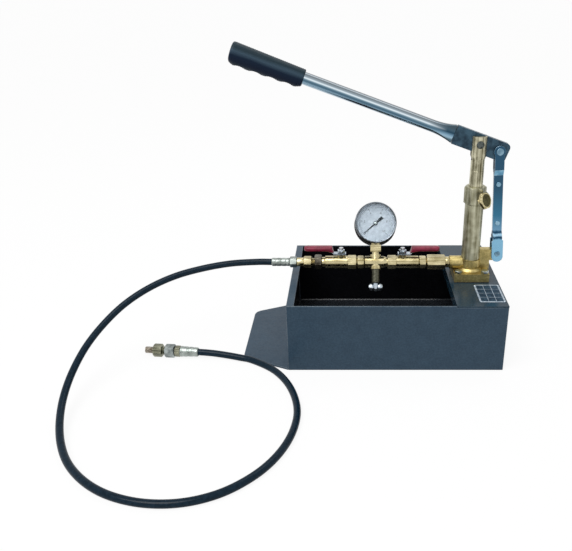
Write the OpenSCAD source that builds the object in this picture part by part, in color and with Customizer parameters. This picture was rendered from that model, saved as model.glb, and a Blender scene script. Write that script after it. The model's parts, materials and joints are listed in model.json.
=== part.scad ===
// Hand-operated hydrostatic test pump: open water tank, brass plunger pump, valve manifold,
// dial gauge, lever with link and a test hose. Millimetres, +Z up, +X along the tank to the pump,
// +Y to the back. The origin is the centre of the tank's underside.

/* [Tank] */
// Length of the tank
tank_l = 300; // [280:1:340]
// Depth of the tank, front to back
tank_d = 220; // [180:1:260]
// Height of the tank
tank_h = 100; // [90:1:130]
// Thickness of the tank's sheet steel
sheet = 2; // [1.5:0.1:3]
// Width of the lip folded inwards along the left wall
left_lip = 8.5; // [6:0.5:14]
// Length of the deck plate that carries the pump
deck_l = 70; // [68:1:90]
// Height of the apron folded down from the deck's inner edge
apron_h = 16; // [8:1:30]
// Reach of the foot plate beyond the tank's left wall
foot_reach = 67; // [50:1:75]
// Thickness of the foot plate
foot_t = 3; // [2:0.5:4]
// Radius of the foot plate's outer corners
foot_r = 15; // [8:1:20]

/* [Pump] */
// Distance of the pump's axis from the tank's right wall
pump_inset = 39; // [36:1:42]
// Place of the pump's axis, front to back, from the tank's centre
pump_y = -10; // [-30:1:20]
// Thickness of the gasket under the pump
gasket_t = 1; // [0.5:0.1:2]
// Side of the square base flange
flange_w = 50; // [48:1:56]
// Thickness of the base flange
flange_t = 12; // [10:1:16]
// Distance of each base bolt from the pump's axis, along X and along Y
bolt_at = 19; // [18.5:0.1:20]
// Diameter of the base bolts
bolt_d = 6; // [5:0.5:6.5]
// Diameter of the cast boss around the foot of the cylinder
boss_d = 29; // [28:0.5:32]
// Height of the boss above the flange
boss_h = 16; // [15.5:0.5:22]
// Height of the manifold's axis above the deck
axis_rise = 22; // [22:0.5:26]
// Diameter of the outlet port
port_d = 19; // [18.5:0.5:20]
// Reach of the outlet port from the pump's axis
port_reach = 30; // [28:1:34]
// Outside diameter of the cylinder
cyl_d = 26; // [25.6:0.1:27]
// Bore of the cylinder
cyl_bore = 20; // [19.4:0.1:20.6]
// Height of the cylinder's shoulder above the deck
cyl_top = 112; // [100:1:125]
// Width across the flats of the gland nut
gland_af = 27; // [27:0.5:32]
// Height of the gland nut
gland_h = 25; // [22:1:30]
// Diameter of the plunger
plunger_d = 19; // [18:0.1:19]
// Diameter of the clevis head on the plunger
clevis_d = 22; // [20:0.5:24]

/* [Lever and link] */
// Height of the plunger's pin above the deck
pin_rise = 197; // [194:1:204]
// Distance between the lever's pivot and the plunger's pin
arm = 29.8; // [28:0.1:31]
// Angle of the lever above level, at rest
lever_a = 20; // [14:0.5:26]
// Thickness of the lever's flat bar
bar_t = 8; // [6:0.5:9]
// Height of the lever's flat bar
bar_h = 26; // [22:0.5:28]
// Distance from the pivot to the end of the flat bar
bar_l = 66; // [60:1:80]
// Outside diameter of the lever's tube
tube_d = 16.5; // [16:0.1:18]
// Wall of the lever's tube
tube_wall = 1.5; // [1:0.1:1.5]
// Distance from the pivot to the inner end of the grip
grip_from = 280; // [240:1:300]
// Length of the grip
grip_l = 99; // [90:1:115]
// Diameter of the grip at its inner end
grip_d1 = 22.5; // [21:0.5:24]
// Diameter of the grip at its outer end
grip_d2 = 27; // [25:0.5:30]
// Width of the link's straps
strap_w = 13; // [11:0.5:14]
// Thickness of each strap
strap_t = 2.5; // [2:0.1:3.5]
// Distance of the link's lower pivot from the pump's axis
ear_reach = 37; // [36:0.5:39]
// Height of the link's lower pivot above the deck
ear_rise = 38; // [36:0.5:42]
// Thickness of the ear on the pump's base
ear_t = 10; // [8:0.5:12]

/* [Manifold] */
// Length of the check valve's body
check_l = 33; // [32:1:38]
// Width across the flats of the check valve's body
check_af = 19; // [18.5:0.5:22]
// Length of each ball valve
valve_l = 45; // [43:1:50]
// Diameter of the ball valves' bodies
valve_d = 18; // [17.5:0.5:20]
// Diameter of the valve balls
ball_d = 13.5; // [12.5:0.1:13.5]
// Length of each valve handle, from the stem to the tip
handle_l = 54; // [48:1:60]
// Length of the red sleeve on each valve handle
sleeve_l = 41; // [36:1:42]
// Width of the red sleeve
sleeve_w = 12.5; // [12:0.5:16]
// Length of the tee between its run ends
tee_l = 31; // [30:1:36]
// Diameter of the tee's run and branches
tee_d = 17; // [16.5:0.1:19]
// Width across the flats of the hex nipples
nipple_af = 16; // [15.5:0.5:18]
// Length of the hex on each nipple
nipple_l = 9.5; // [8:0.5:12]
// Angle that the tee, gauge and bleed tube lean back from upright
tee_tilt = 28; // [0:1:35]
// Diameter of the pipe threads
thread_d = 13; // [12.6:0.1:13.2]
// Length of pipe thread screwed into each fitting
thread_l = 8; // [7:0.5:8.4]
// Length of pipe thread left showing at each joint
thread_gap = 1.5; // [0.5:0.1:2.5]

/* [Gauge] */
// Outside diameter of the gauge's case
case_d = 57; // [55:0.5:60]
// Depth of the gauge's case, front to back
case_l = 30; // [26:1:34]
// How far the gauge's bezel stands out round the case
bezel_out = 1.5; // [1:0.1:3]
// Distance of the gauge's centre from the manifold's axis
gauge_rise = 55.5; // [55.5:0.5:66]
// Side of the square on the gauge's socket
square_w = 15; // [14:0.5:17]
// Length of the gauge's pointer
pointer_l = 22; // [16:0.5:23]

/* [Bleed screw] */
// Length of the bleed tube under the tee
bleed_l = 20; // [18:1:30]
// Diameter of the bleed tube
bleed_d = 12; // [11.5:0.5:13]
// Span of the bleed screw's wings
wing_span = 22; // [20:1:26]

/* [Hose] */
// Outside diameter of the hose
hose_d = 9.5; // [8.5:0.1:10]
// Length of the crimped ferrule at each end of the hose
ferrule_l = 26; // [24:1:30]
// Diameter of the ferrule at the pump's end
ferrule_d = 12; // [11.6:0.1:13]
// Width across the flats of the nut at the hose's free end
far_af = 17; // [16:0.5:19]
// Diameter of the threaded tip at the hose's free end
tip_d = 9.7; // [9:0.1:10.5]
// Length of the threaded tip
tip_l = 12; // [10:1:16]

/* [Hidden] */
$fn = 48;

// Clearances: running fits, fits within one body and open gaps between flat faces
run = 0.05;
fit = 0.05;
gap = 0.3;
eps = 1;

// Places that the other sizes follow
pump_x = tank_l / 2 - pump_inset;
deck_x = tank_l / 2 - deck_l;
deck_z = tank_h;
base_z = deck_z + gasket_t;
flange_z = base_z + flange_t;
boss_z = flange_z + boss_h;
axis_z = deck_z + axis_rise;
cyl_z = deck_z + cyl_top;

// Foot plate: how far its ends stand in from the tank's, and how they slope
foot_back = 16;
foot_front = 0;
foot_slope = 26;
foot_lean = 24;

// Pump: valve chamber, cylinder spigot, neck and packing
boss_flare = 3;
suction_hole = 6;
suction_plug_h = 4;
suction_ball_d = 9;
suction_cage_d = 12;
suction_cage_h = 15;
riser_d = 7.6;
suction_seat = sqrt(pow(suction_ball_d / 2, 2) - pow(suction_hole / 2, 2));
suction_ball_z = base_z + suction_plug_h + suction_seat + gap;
suction_pipe_d = 10;
suction_clear = 18;
suction_end_z = sheet + suction_clear;
strainer_d = 22;
strainer_h = 16;
strainer_wall = 2;
strainer_over = 6;
strainer_slots = 8;
spigot_d = 23;
spigot_h = 3.5;
neck_d = cyl_d - 2.6;
neck_h = 10;
packing_h = 9;
packing_count = 3;
packing_space = 0.2;
head_af = 10;
head_h = 4;
nut_h = 5;
bolt_past = 2;

// Vent plug on the gland
plug_turn = -45;
plug_tilt = 20;
plug_rise = 2.5;
plug_side = 8;
plug_shank_d = 7;
plug_af = 22;
plug_h = 5;
plug_shank_x = (neck_d / 2 + fit + gap + plug_shank_d / 2 * sin(plug_tilt)) / cos(plug_tilt);
plug_head_x = ((gland_af + plug_af * sin(plug_tilt)) / cos(30) / 2 + gap) / cos(plug_tilt);

// Plunger and its clevis
pin_z = deck_z + pin_rise;
clevis_down = 37;
clevis_up = 10.5;
clevis_z = pin_z - clevis_down;
slot_down = 23;
stud_d = 12;
stud_h = 12;
plunger_clear = 20;
plunger_low_z = boss_z + plunger_clear;
pin_d = 8;
pin_head_d = 10.6;
pin_head_h = 1;

// Lever and link, with the lower pin's slot in the ear taking up the link's small sideways travel
pivot_x = pump_x + arm * cos(lever_a);
pivot_z = pin_z - arm * sin(lever_a);
ear_x = pump_x + ear_reach;
ear_z = deck_z + ear_rise;
link_len = sqrt(pow(pivot_x - ear_x, 2) + pow(pivot_z - ear_z, 2));
link_lean = atan((pivot_x - ear_x) / (pivot_z - ear_z));
lower_pin_d = 5;
slot_left = 3;
slot_right = 2.2;
slot_play = 0.6;
ear_wall = 3;
ear_drop = 11;
ear_step = 2;
strap_top = 8;
strap_foot_w = 16;
strap_foot_l = 20;
strap_foot_drop = 4.5;
joggle_low = 24;
joggle_low_l = 10;
joggle_high = 34;
joggle_high_l = 8;
rivet_d = 4;
rivet_head_d = 7;
rivet_head_h = 1.2;
rivet_low = 45;
rivet_high = 47;
pivot_head_d = 10;
pivot_head_h = 2;
lower_head_d = 8;
lower_head_h = 1;
bar_end = 12;
bar_end_r = 6;
shoulder_l = 1;
tail_h = 9.6;
tail_l = 30;
crimp_h = bar_h - 1;
crimp_t = bar_t + 3;
crimp_l = 34;
grip_wall_end = 8;
grip_lead = 8;
finger_r = 16;
finger_cut = 2.4;
fingers = 4;
grip_margin = 6;

// Manifold, from the pump's port to the left
check_x = pump_x - port_reach - check_l;
pump_nipple_x = check_x - thread_gap - nipple_l;
right_valve_x = pump_nipple_x - thread_gap - valve_l;
tee_right = right_valve_x - thread_gap;
tee_x = tee_right - tee_l / 2;
left_nipple_x = tee_right - tee_l - thread_gap - nipple_l;
left_valve_x = left_nipple_x - thread_gap;
outlet_x = left_valve_x - valve_l;
flow_d = 6.5;
tee_taper = 4;
tee_nose_d = thread_d + 1;
tee_branch_d = tee_d - 1;
tee_port = tee_d / 2 + 2;
seal_l = thread_l + 2 * gap;
collar_d = 16;
collar_l = 6.5;
check_cage_d = 11;
check_cage_l = 10;
check_wall = 5;
check_ball_d = 8.6;
check_seat = sqrt(pow(check_ball_d / 2, 2) - pow(flow_d / 2, 2));
check_seat_x = seal_l + check_wall + check_cage_l;
check_ball_x = check_seat_x - check_seat - gap;

// Ball valve, from its capped end
cap_l = 13;
cap_af = 17.5;
ball_at = 22;
cavity_d = ball_d + 2 * gap;
seat_hole = 8;
seat_t = 2.5;
seat_clear = 0.15;
seat_x = sqrt(pow(ball_d / 2 + seat_clear, 2) - pow(seat_hole / 2, 2));
stem_d = 6;
stem_boss_d = 11;
stem_boss_h = 12;
stem_top = 22.5;
strip_t = 2;
strip_w = 9;
strip_tail = 7;
strip_flat = 11;
strip_rise = 7;
strip_ramp = 5;
strip_short = 3;
sleeve_h = 5;
stem_nut_af = 10;
stem_nut_h = 5;

// Outlet fitting and hose ends
outlet_neck_d = 14;
outlet_neck_l = 5.5;
lock_nut_af = 19;
lock_nut_l = 10;
outlet_thread_l = 5;
outlet_hex_af = 15;
outlet_hex_l = 11;
outlet_ring_d = 13;
outlet_ring_l = 10;
outlet_thread_d = thread_d - 1;
hose_flow_d = flow_d - 2;
hose_thread_d = 10;
hose_nut_af = 14;
hose_nut_l = 10;
hose_tail_d = 8;
hose_tail_l = 5;
hose_grip = 20;
outlet_end = outlet_x - outlet_neck_l - lock_nut_l - outlet_thread_l - outlet_hex_l - outlet_ring_l;
hose_nut_x = outlet_end - gap - hose_nut_l;
ferrule_x = hose_nut_x - gap - ferrule_l;

// Free end of the hose, lying on the floor
far_x = -282;
far_y = -75;
far_turn = 175;
far_lift = 0.1;
far_z = far_af / 2 + far_lift;
far_d1 = 13;
far_d2 = 15.5;
far_ring_af = 14;
far_ring_l = 8;
far_nut_l = 14;
far_nut_back = 4;
far_thread_d = 12;
far_thread_l = 14;
far_hex_l = 13;
far_hex_af = far_af - 0.5;

// Gauge, on the tee
gauge_z = axis_z + gauge_rise;
case_wall = 1.5;
bezel_d = case_d + 2 * bezel_out;
case_front = pump_y - case_l / 2;
bezel_lip = 2;
bezel_l = 7;
bezel_rim = bezel_out + 2;
lens_t = 1.5;
dial_t = 0.8;
dial_back = 6;
pointer_t = 0.6;
pointer_tail = 13;
pointer_hub_d = 6;
pointer_w = 2.4;
pointer_tip = 0.8;
pointer_a = 139;
arbor_d = 2.4;
movement_t = 4;
movement_w = 16;
shelf_t = 2;
coil_r = 18;
coil_tube_d = 5;
coil_gap = 2;
coil_start = 70;
coil_turn = 250;
coil_arm_h = 8;
socket_neck_d = 10;
socket_square_h = 10;
socket_stem_d = 12;
socket_block_h = 14;
socket_depth = 6;
socket_neck_l = 4;
case_inset = 4;
block_z = gauge_z - case_d / 2 + case_wall + case_inset;
block_top = block_z + socket_block_h;

// Bleed screw
bleed_bore = 4;
needle_d = 3.8;
needle_l = 18;
wing_h = 12;
wing_t = 4;
wing_hub_d = 9;
wing_lobe_d = 10;
bleed_z = axis_z - tee_port - bleed_l;
wing_top = bleed_z - gap;

// Hose route: a stretch in the air from the outlet, then one loose loop on the floor
hose_sides = 10;
hose_steps = 2;
hose_floor = 5;
HOSE_AIR = [
    [-200, -10, 122], [-238, -14, 121], [-276, -22, 117], [-313, -35, 111], [-347, -53, 101],
    [-377, -76, 87], [-400, -103, 70], [-416, -135, 53], [-424, -171, 36], [-424, -208, 22],
    [-416, -246, 12], [-401, -283, 7]
];
HOSE_FLOOR = [
    [-380, -316], [-351, -345], [-318, -365], [-279, -376], [-239, -375], [-202, -361],
    [-171, -335], [-149, -303], [-135, -265], [-130, -224], [-135, -186], [-149, -148],
    [-171, -116], [-202, -92], [-222, -84]
];
HOSE_END = [[-242, -79, 6], [-262, -77, 8]];

brass = [0.80, 0.66, 0.33];
zinc = [0.68, 0.74, 0.80];
paint = [0.17, 0.19, 0.22];
rubber = [0.06, 0.06, 0.07];

// Shared shapes

// A hexagonal bar along +Z, with a flat face towards +X and -X
module hex_bar(af, l) {
    rotate([0, 0, 30])
        cylinder(d = af / cos(30), h = l, $fn = 6);
}

// Children stand on the manifold's axis at x, with their +Z along +X
module on_axis(x) {
    translate([x, pump_y, axis_z])
        rotate([0, 90, 0])
            children();
}

// Children stand on the pump's vertical axis at height z
module on_pump(z) {
    translate([pump_x, pump_y, z])
        children();
}

// Children lean back about the manifold's axis, with the tee
module lean_back() {
    translate([0, pump_y, axis_z])
        rotate([-tee_tilt, 0, 0])
            translate([0, -pump_y, -axis_z])
                children();
}

// Children stand on the tee's leaning axis, at height z before it leans
module on_socket(z) {
    lean_back()
        translate([tee_x, pump_y, z])
            children();
}

// Children lie on the far fitting's axis, x along it from the ferrule's mouth
module on_far(x) {
    translate([far_x, far_y, far_z])
        rotate([0, 0, far_turn])
            translate([x, 0, 0])
                rotate([0, 90, 0])
                    children();
}

// Children are placed in the lever's frame: the origin at its pivot, -X along it to the grip
module on_lever() {
    translate([pivot_x, pump_y, pivot_z])
        rotate([0, lever_a, 0])
            children();
}

// Children are placed in the link's frame: the origin at its lower pivot, +Z along it
module on_link() {
    translate([ear_x, pump_y, ear_z])
        rotate([0, link_lean, 0])
            children();
}

// A round bar along +Y, centred on the origin
module cross_bar(d, l) {
    rotate([90, 0, 0])
        cylinder(d = d, h = l, center = true);
}

// Points on an arc about c
function arc(c, r, a0, a1, n = 8) =
    [for (i = [0 : n]) c + r * [cos(a0 + (a1 - a0) * i / n), sin(a0 + (a1 - a0) * i / n)]];

// Tank

module tank_shell() {
    inside = [tank_l - 2 * sheet, tank_d - 2 * sheet, tank_h];
    color(paint) {
        difference() {
            translate([-tank_l / 2, -tank_d / 2, 0])
                cube([tank_l, tank_d, tank_h]);
            translate([-inside[0] / 2, -inside[1] / 2, sheet])
                cube(inside);
            translate([deck_x, -tank_d, tank_h - sheet])
                cube([tank_l, 2 * tank_d, tank_h]);
        }
        translate([-tank_l / 2 + sheet, -inside[1] / 2, tank_h - sheet])
            cube([left_lip, inside[1], sheet]);
    }
}

module deck_plate() {
    color(paint)
        difference() {
            union() {
                translate([deck_x, -tank_d / 2, deck_z - sheet])
                    cube([deck_l, tank_d, sheet]);
                translate([deck_x, -tank_d / 2 + sheet + gap, deck_z - apron_h])
                    cube([sheet, tank_d - 2 * (sheet + gap), apron_h]);
            }
            on_pump(deck_z - 2 * sheet)
                cylinder(d = suction_pipe_d + 2 * gap, h = 4 * sheet);
            base_bolt_places(deck_z - 2 * sheet)
                cylinder(d = bolt_d + 2 * gap, h = 4 * sheet);
        }
}

// A plate welded to the tank's left wall, for the operator's foot
module foot_plate() {
    right = -tank_l / 2;
    left = right - foot_reach;
    back = tank_d / 2 - foot_back;
    front = -tank_d / 2 + foot_front;
    outline = concat(
        [[right, front], [right, back]],
        arc([left + foot_r, back - foot_slope - foot_r], foot_r, 90 + foot_lean, 180),
        arc([left + foot_r, front + foot_slope + foot_r], foot_r, 180, 270 - foot_lean)
    );
    color(paint)
        linear_extrude(foot_t)
            polygon(outline);
}

// Pump body

module base_bolt_places(z) {
    for (sx = [-1, 1], sy = [-1, 1])
        on_pump(z)
            translate([sx * bolt_at, sy * bolt_at, 0])
                children();
}

module pump_base() {
    ear_tip = ear_x + slot_right + lower_pin_d / 2 + ear_wall;
    ear_low = ear_z - ear_drop;
    ear_top = ear_z + lower_pin_d / 2 + ear_wall;
    ear_face = ear_x - strap_foot_w / 2 - ear_step;
    color(brass)
        difference() {
            union() {
                on_pump(base_z)
                    translate([-flange_w / 2, -flange_w / 2, 0])
                        cube([flange_w, flange_w, flange_t]);
                on_pump(base_z)
                    cylinder(d = boss_d, h = flange_t + boss_h);
                on_pump(flange_z)
                    cylinder(d1 = boss_d + 2 * boss_flare, d2 = boss_d, h = boss_flare);
                on_axis(pump_x - port_reach)
                    cylinder(d = port_d, h = port_reach);
                translate([pump_x, pump_y - ear_t / 2, ear_low])
                    cube([ear_tip - pump_x, ear_t, ear_top - ear_low]);
                translate([pump_x, pump_y - ear_t / 2, base_z])
                    cube([ear_face - pump_x, ear_t, ear_top - base_z]);
            }
            base_bolt_places(base_z - eps)
                cylinder(d = bolt_d + 2 * gap, h = flange_t + 2 * eps);
            on_pump(base_z - eps)
                cylinder(d = suction_cage_d, h = suction_cage_h + eps);
            on_pump(base_z)
                cylinder(d = riser_d, h = flange_t + boss_h);
            on_pump(boss_z)
                cylinder(d = cyl_d + 2 * gap, h = boss_h);
            on_pump(boss_z - spigot_h)
                cylinder(d = spigot_d + 2 * fit, h = spigot_h + eps);
            on_axis(pump_x - port_reach - eps)
                cylinder(d = flow_d, h = port_reach + eps);
            on_axis(pump_x - port_reach - eps)
                cylinder(d = thread_d + 2 * fit, h = seal_l + eps);
            lower_pin_slot();
        }
}

// The slot in the ear for the link's lower pin
module lower_pin_slot() {
    d = lower_pin_d + 2 * slot_play;
    translate([ear_x - slot_left, pump_y, ear_z])
        cross_bar(d, 2 * ear_t);
    translate([ear_x + slot_right, pump_y, ear_z])
        cross_bar(d, 2 * ear_t);
    translate([ear_x - slot_left, pump_y - ear_t, ear_z - d / 2])
        cube([slot_left + slot_right, 2 * ear_t, d]);
}

module base_gasket() {
    color(rubber)
        difference() {
            on_pump(deck_z)
                translate([-flange_w / 2, -flange_w / 2, 0])
                    cube([flange_w, flange_w, gasket_t]);
            on_pump(deck_z - eps)
                cylinder(d = suction_pipe_d + 2 * gap, h = gasket_t + 2 * eps);
            base_bolt_places(deck_z - eps)
                cylinder(d = bolt_d + 2 * gap, h = gasket_t + 2 * eps);
        }
}

module base_bolts() {
    grip = flange_t + gasket_t + sheet;
    color(zinc) {
        base_bolt_places(flange_z) {
            hex_bar(head_af, head_h);
            translate([0, 0, -grip - nut_h - bolt_past])
                cylinder(d = bolt_d, h = grip + nut_h + bolt_past);
        }
        base_bolt_places(deck_z - sheet - nut_h)
            difference() {
                hex_bar(head_af, nut_h);
                translate([0, 0, -eps])
                    cylinder(d = bolt_d + 2 * fit, h = nut_h + 2 * eps);
            }
    }
}

module suction_tube() {
    color(brass)
        difference() {
            union() {
                on_pump(base_z)
                    cylinder(d = suction_cage_d - 2 * fit, h = suction_plug_h);
                on_pump(suction_end_z)
                    cylinder(d = suction_pipe_d, h = base_z - suction_end_z);
            }
            on_pump(suction_end_z - eps)
                cylinder(d = suction_hole, h = tank_h + flange_t);
        }
}

module suction_strainer() {
    z = suction_end_z - strainer_h + strainer_over;
    wall = strainer_wall;
    color(zinc)
        difference() {
            on_pump(z)
                cylinder(d = strainer_d, h = strainer_h);
            on_pump(z + wall)
                cylinder(d = strainer_d - 2 * wall, h = strainer_h - 2 * wall);
            on_pump(z + strainer_h - 2 * wall)
                cylinder(d = suction_pipe_d + 2 * fit, h = 3 * wall);
            for (i = [0 : strainer_slots / 2 - 1])
                on_pump(z + strainer_h / 2)
                    rotate([0, 0, i * 360 / strainer_slots])
                        cube([2 * strainer_d, wall, strainer_h / 2], center = true);
        }
}

module suction_ball() {
    color(zinc)
        on_pump(suction_ball_z)
            sphere(d = suction_ball_d);
}

module pump_cylinder() {
    color(brass)
        difference() {
            union() {
                on_pump(boss_z - spigot_h)
                    cylinder(d = spigot_d, h = spigot_h);
                on_pump(boss_z)
                    cylinder(d = cyl_d, h = cyl_z - boss_z);
                on_pump(cyl_z)
                    cylinder(d = neck_d, h = neck_h);
            }
            on_pump(boss_z - spigot_h - eps)
                cylinder(d = cyl_bore, h = cyl_z - boss_z + spigot_h + neck_h + 2 * eps);
        }
}

module gland_nut() {
    color(brass)
        difference() {
            on_pump(cyl_z)
                rotate([0, 0, 30])
                    hex_bar(gland_af, gland_h);
            on_pump(cyl_z - eps)
                cylinder(d = neck_d + 2 * fit, h = neck_h + packing_h + eps);
            on_pump(cyl_z)
                cylinder(d = plunger_d + 2 * run, h = gland_h + eps);
            on_plug(0)
                cylinder(d = plug_shank_d + 2 * fit, h = 3 * gland_af);
        }
}

// Children lie on the vent plug's axis, x out from the pump's axis; the plug stands to one side
module on_plug(x) {
    on_pump(cyl_z + plug_rise)
        rotate([0, 0, plug_turn])
            rotate([0, -plug_tilt, 0])
                translate([x, -plug_side, 0])
                    rotate([0, 90, 0])
                        children();
}

module vent_plug() {
    color(brass) {
        on_plug(plug_shank_x)
            cylinder(d = plug_shank_d, h = plug_head_x - plug_shank_x + eps);
        on_plug(plug_head_x)
            hex_bar(plug_af, plug_h);
    }
}

module packing_rings() {
    pitch = packing_h / packing_count;
    color(rubber)
        for (i = [0 : packing_count - 1])
            on_pump(cyl_z + neck_h + i * pitch)
                difference() {
                    cylinder(d = neck_d, h = pitch - packing_space);
                    translate([0, 0, -eps])
                        cylinder(d = plunger_d + 2 * run, h = pitch + 2 * eps);
                }
}

// Plunger

module plunger_rod() {
    color(brass) {
        on_pump(plunger_low_z)
            cylinder(d = plunger_d, h = clevis_z - plunger_low_z);
        on_pump(clevis_z)
            cylinder(d = stud_d, h = stud_h);
    }
}

module plunger_clevis() {
    slot_w = bar_t + 2 * gap;
    height = pin_z + clevis_up - clevis_z;
    color(brass)
        difference() {
            on_pump(clevis_z)
                cylinder(d = clevis_d, h = height);
            on_pump(clevis_z - eps)
                cylinder(d = stud_d + 2 * fit, h = stud_h + eps);
            on_pump(pin_z - slot_down)
                translate([-clevis_d, -slot_w / 2, 0])
                    cube([2 * clevis_d, slot_w, height]);
            on_pump(pin_z)
                cross_bar(pin_d + 2 * fit, 2 * clevis_d);
        }
}

module plunger_pin() {
    color([0.16, 0.16, 0.17])
        on_pump(pin_z) {
            cross_bar(pin_d, clevis_d);
            for (s = [-1, 1])
                translate([0, s * (clevis_d + pin_head_h) / 2, 0])
                    cross_bar(pin_head_d, pin_head_h);
        }
}

// Lever

module lever_bar() {
    outline = concat(
        arc([bar_end - bar_end_r, bar_h / 2 - bar_end_r], bar_end_r, 90, 0),
        arc([bar_end - bar_end_r, bar_end_r - bar_h / 2], bar_end_r, 0, -90),
        [[-bar_l, -bar_h / 2], [-bar_l - shoulder_l, -tail_h / 2], [-bar_l - tail_l, -tail_h / 2],
         [-bar_l - tail_l, tail_h / 2], [-bar_l - shoulder_l, tail_h / 2], [-bar_l, bar_h / 2]]
    );
    color([0.22, 0.26, 0.30])
        on_lever()
            difference() {
                rotate([90, 0, 0])
                    linear_extrude(bar_t, center = true)
                        polygon(outline);
                cross_bar(pin_d + 2 * run, 2 * bar_t);
                translate([-arm, 0, 0])
                    cross_bar(pin_d + 2 * run, 2 * bar_t);
            }
}

module lever_tube() {
    from = bar_l + shoulder_l + gap;
    to = grip_from + grip_l - grip_wall_end;
    color(zinc)
        on_lever()
            difference() {
                union() {
                    translate([-to, 0, 0])
                        rotate([0, 90, 0])
                            cylinder(d = tube_d, h = to - from - crimp_l);
                    hull() {
                        translate([-from - eps, -crimp_t / 2, -crimp_h / 2])
                            cube([eps, crimp_t, crimp_h]);
                        translate([-from - crimp_l - eps, 0, 0])
                            rotate([0, 90, 0])
                                cylinder(d = tube_d, h = eps, $fn = 32);
                    }
                }
                translate([-to - eps, 0, 0])
                    rotate([0, 90, 0])
                        cylinder(d = tube_d - 2 * tube_wall, h = to - from - crimp_l + eps);
                translate([-from - tail_l, -bar_t / 2 - fit, -tail_h / 2 - fit])
                    cube([tail_l + 2 * eps, bar_t + 2 * fit, tail_h + 2 * fit]);
            }
}

module lever_grip() {
    end = grip_from + grip_l;
    pitch = (grip_l - grip_lead - grip_margin) / fingers;
    color(rubber)
        on_lever()
            difference() {
                translate([-end, 0, 0])
                    rotate([0, 90, 0])
                        cylinder(d1 = grip_d2, d2 = grip_d1, h = grip_l);
                translate([-end + grip_wall_end, 0, 0])
                    rotate([0, 90, 0])
                        cylinder(d = tube_d + 2 * fit, h = grip_l);
                for (i = [0 : fingers - 1]) {
                    s = grip_from + grip_lead + (i + 0.5) * pitch;
                    r = (grip_d1 + (grip_d2 - grip_d1) * (s - grip_from) / grip_l) / 2;
                    translate([-s, 0, -r - finger_r + finger_cut])
                        cross_bar(2 * finger_r, 2 * grip_d2);
                }
            }
}

// Link

// One strap, joggled apart round the ear and the lever's bar; side is -1 at the front, 1 at the rear
module link_strap(side) {
    low = ear_t / 2 + gap;
    high = bar_t / 2 + gap;
    bottom = -strap_foot_drop - strap_foot_w / 2;
    top = link_len + strap_top;
    bend = link_len - joggle_high;
    inner = [[low, bottom], [low, joggle_low], [0, joggle_low + joggle_low_l], [0, bend],
             [high, bend + joggle_high_l], [high, top]];
    outer = [for (i = [5 : -1 : 0]) inner[i] + [strap_t, 0]];
    color(zinc)
        on_link()
            difference() {
                intersection() {
                    rotate([90, 0, 90])
                        linear_extrude(3 * strap_w, center = true)
                            polygon([for (p = concat(inner, outer)) [side * p[0], p[1]]]);
                    union() {
                        translate([-strap_w / 2, -tank_d, 0])
                            cube([strap_w, 2 * tank_d, link_len]);
                        translate([0, 0, link_len])
                            cross_bar(2 * strap_top, 2 * tank_d);
                        translate([-strap_foot_w / 2, -tank_d, -strap_foot_drop])
                            cube([strap_foot_w, 2 * tank_d, strap_foot_l + strap_foot_drop]);
                        translate([0, 0, -strap_foot_drop])
                            cross_bar(strap_foot_w, 2 * tank_d);
                    }
                }
                cross_bar(lower_pin_d + 2 * fit, tank_d);
                translate([0, 0, link_len])
                    cross_bar(pin_d + 2 * fit, tank_d);
                for (z = [rivet_low, link_len - rivet_high])
                    translate([0, 0, z])
                        cross_bar(rivet_d + 2 * fit, tank_d);
            }
}

module link_strap_front() {
    link_strap(-1);
}

module link_strap_rear() {
    link_strap(1);
}

// A pin or rivet along Y with a head on each outer face
module headed_pin(d, half, head_d, head_h) {
    cross_bar(d, 2 * half);
    for (s = [-1, 1])
        translate([0, s * (half + head_h / 2), 0])
            cross_bar(head_d, head_h);
}

module link_rivets() {
    color(zinc)
        on_link()
            for (z = [rivet_low, link_len - rivet_high])
                translate([0, 0, z])
                    headed_pin(rivet_d, strap_t, rivet_head_d, rivet_head_h);
}

module link_pins() {
    color(zinc)
        on_link() {
            headed_pin(lower_pin_d, ear_t / 2 + gap + strap_t, lower_head_d, lower_head_h);
            translate([0, 0, link_len])
                headed_pin(pin_d, bar_t / 2 + gap + strap_t, pivot_head_d, pivot_head_h);
        }
}

// Manifold

module check_body() {
    color(brass)
        difference() {
            union() {
                on_axis(check_x)
                    hex_bar(check_af, check_l - collar_l);
                on_axis(check_x)
                    cylinder(d = collar_d, h = check_l);
                on_axis(check_x + check_l)
                    cylinder(d = thread_d, h = thread_l);
            }
            on_axis(check_x - eps)
                cylinder(d = flow_d, h = check_l + thread_l + 2 * eps);
            on_axis(check_x - eps)
                cylinder(d = thread_d + 2 * fit, h = seal_l + eps);
            on_axis(check_x + check_seat_x - check_cage_l)
                cylinder(d = check_cage_d, h = check_cage_l);
        }
}

module discharge_ball() {
    color(zinc)
        on_axis(check_x + check_ball_x)
            sphere(d = check_ball_d);
}

// A hex nipple with a pipe thread at each end, its hex from x to the right
module nipple(x) {
    end = thread_gap + thread_l;
    color(brass)
        difference() {
            union() {
                on_axis(x)
                    hex_bar(nipple_af, nipple_l);
                on_axis(x - end)
                    cylinder(d = thread_d, h = nipple_l + 2 * end);
            }
            on_axis(x - end - eps)
                cylinder(d = flow_d, h = nipple_l + 2 * end + 2 * eps);
        }
}

module pump_nipple() {
    nipple(pump_nipple_x);
}

module left_nipple() {
    nipple(left_nipple_x);
}

// Children are placed in a ball valve's frame: x from its capped end, dir 1 to the right, -1 to the left
module in_valve(x, dir) {
    translate([x, pump_y, axis_z])
        rotate([0, 0, dir > 0 ? 0 : 180])
            children();
}

// A round bar in a valve's frame, from x along its axis
module valve_bar(x, d, l) {
    translate([x, 0, 0])
        rotate([0, 90, 0])
            cylinder(d = d, h = l);
}

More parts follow.
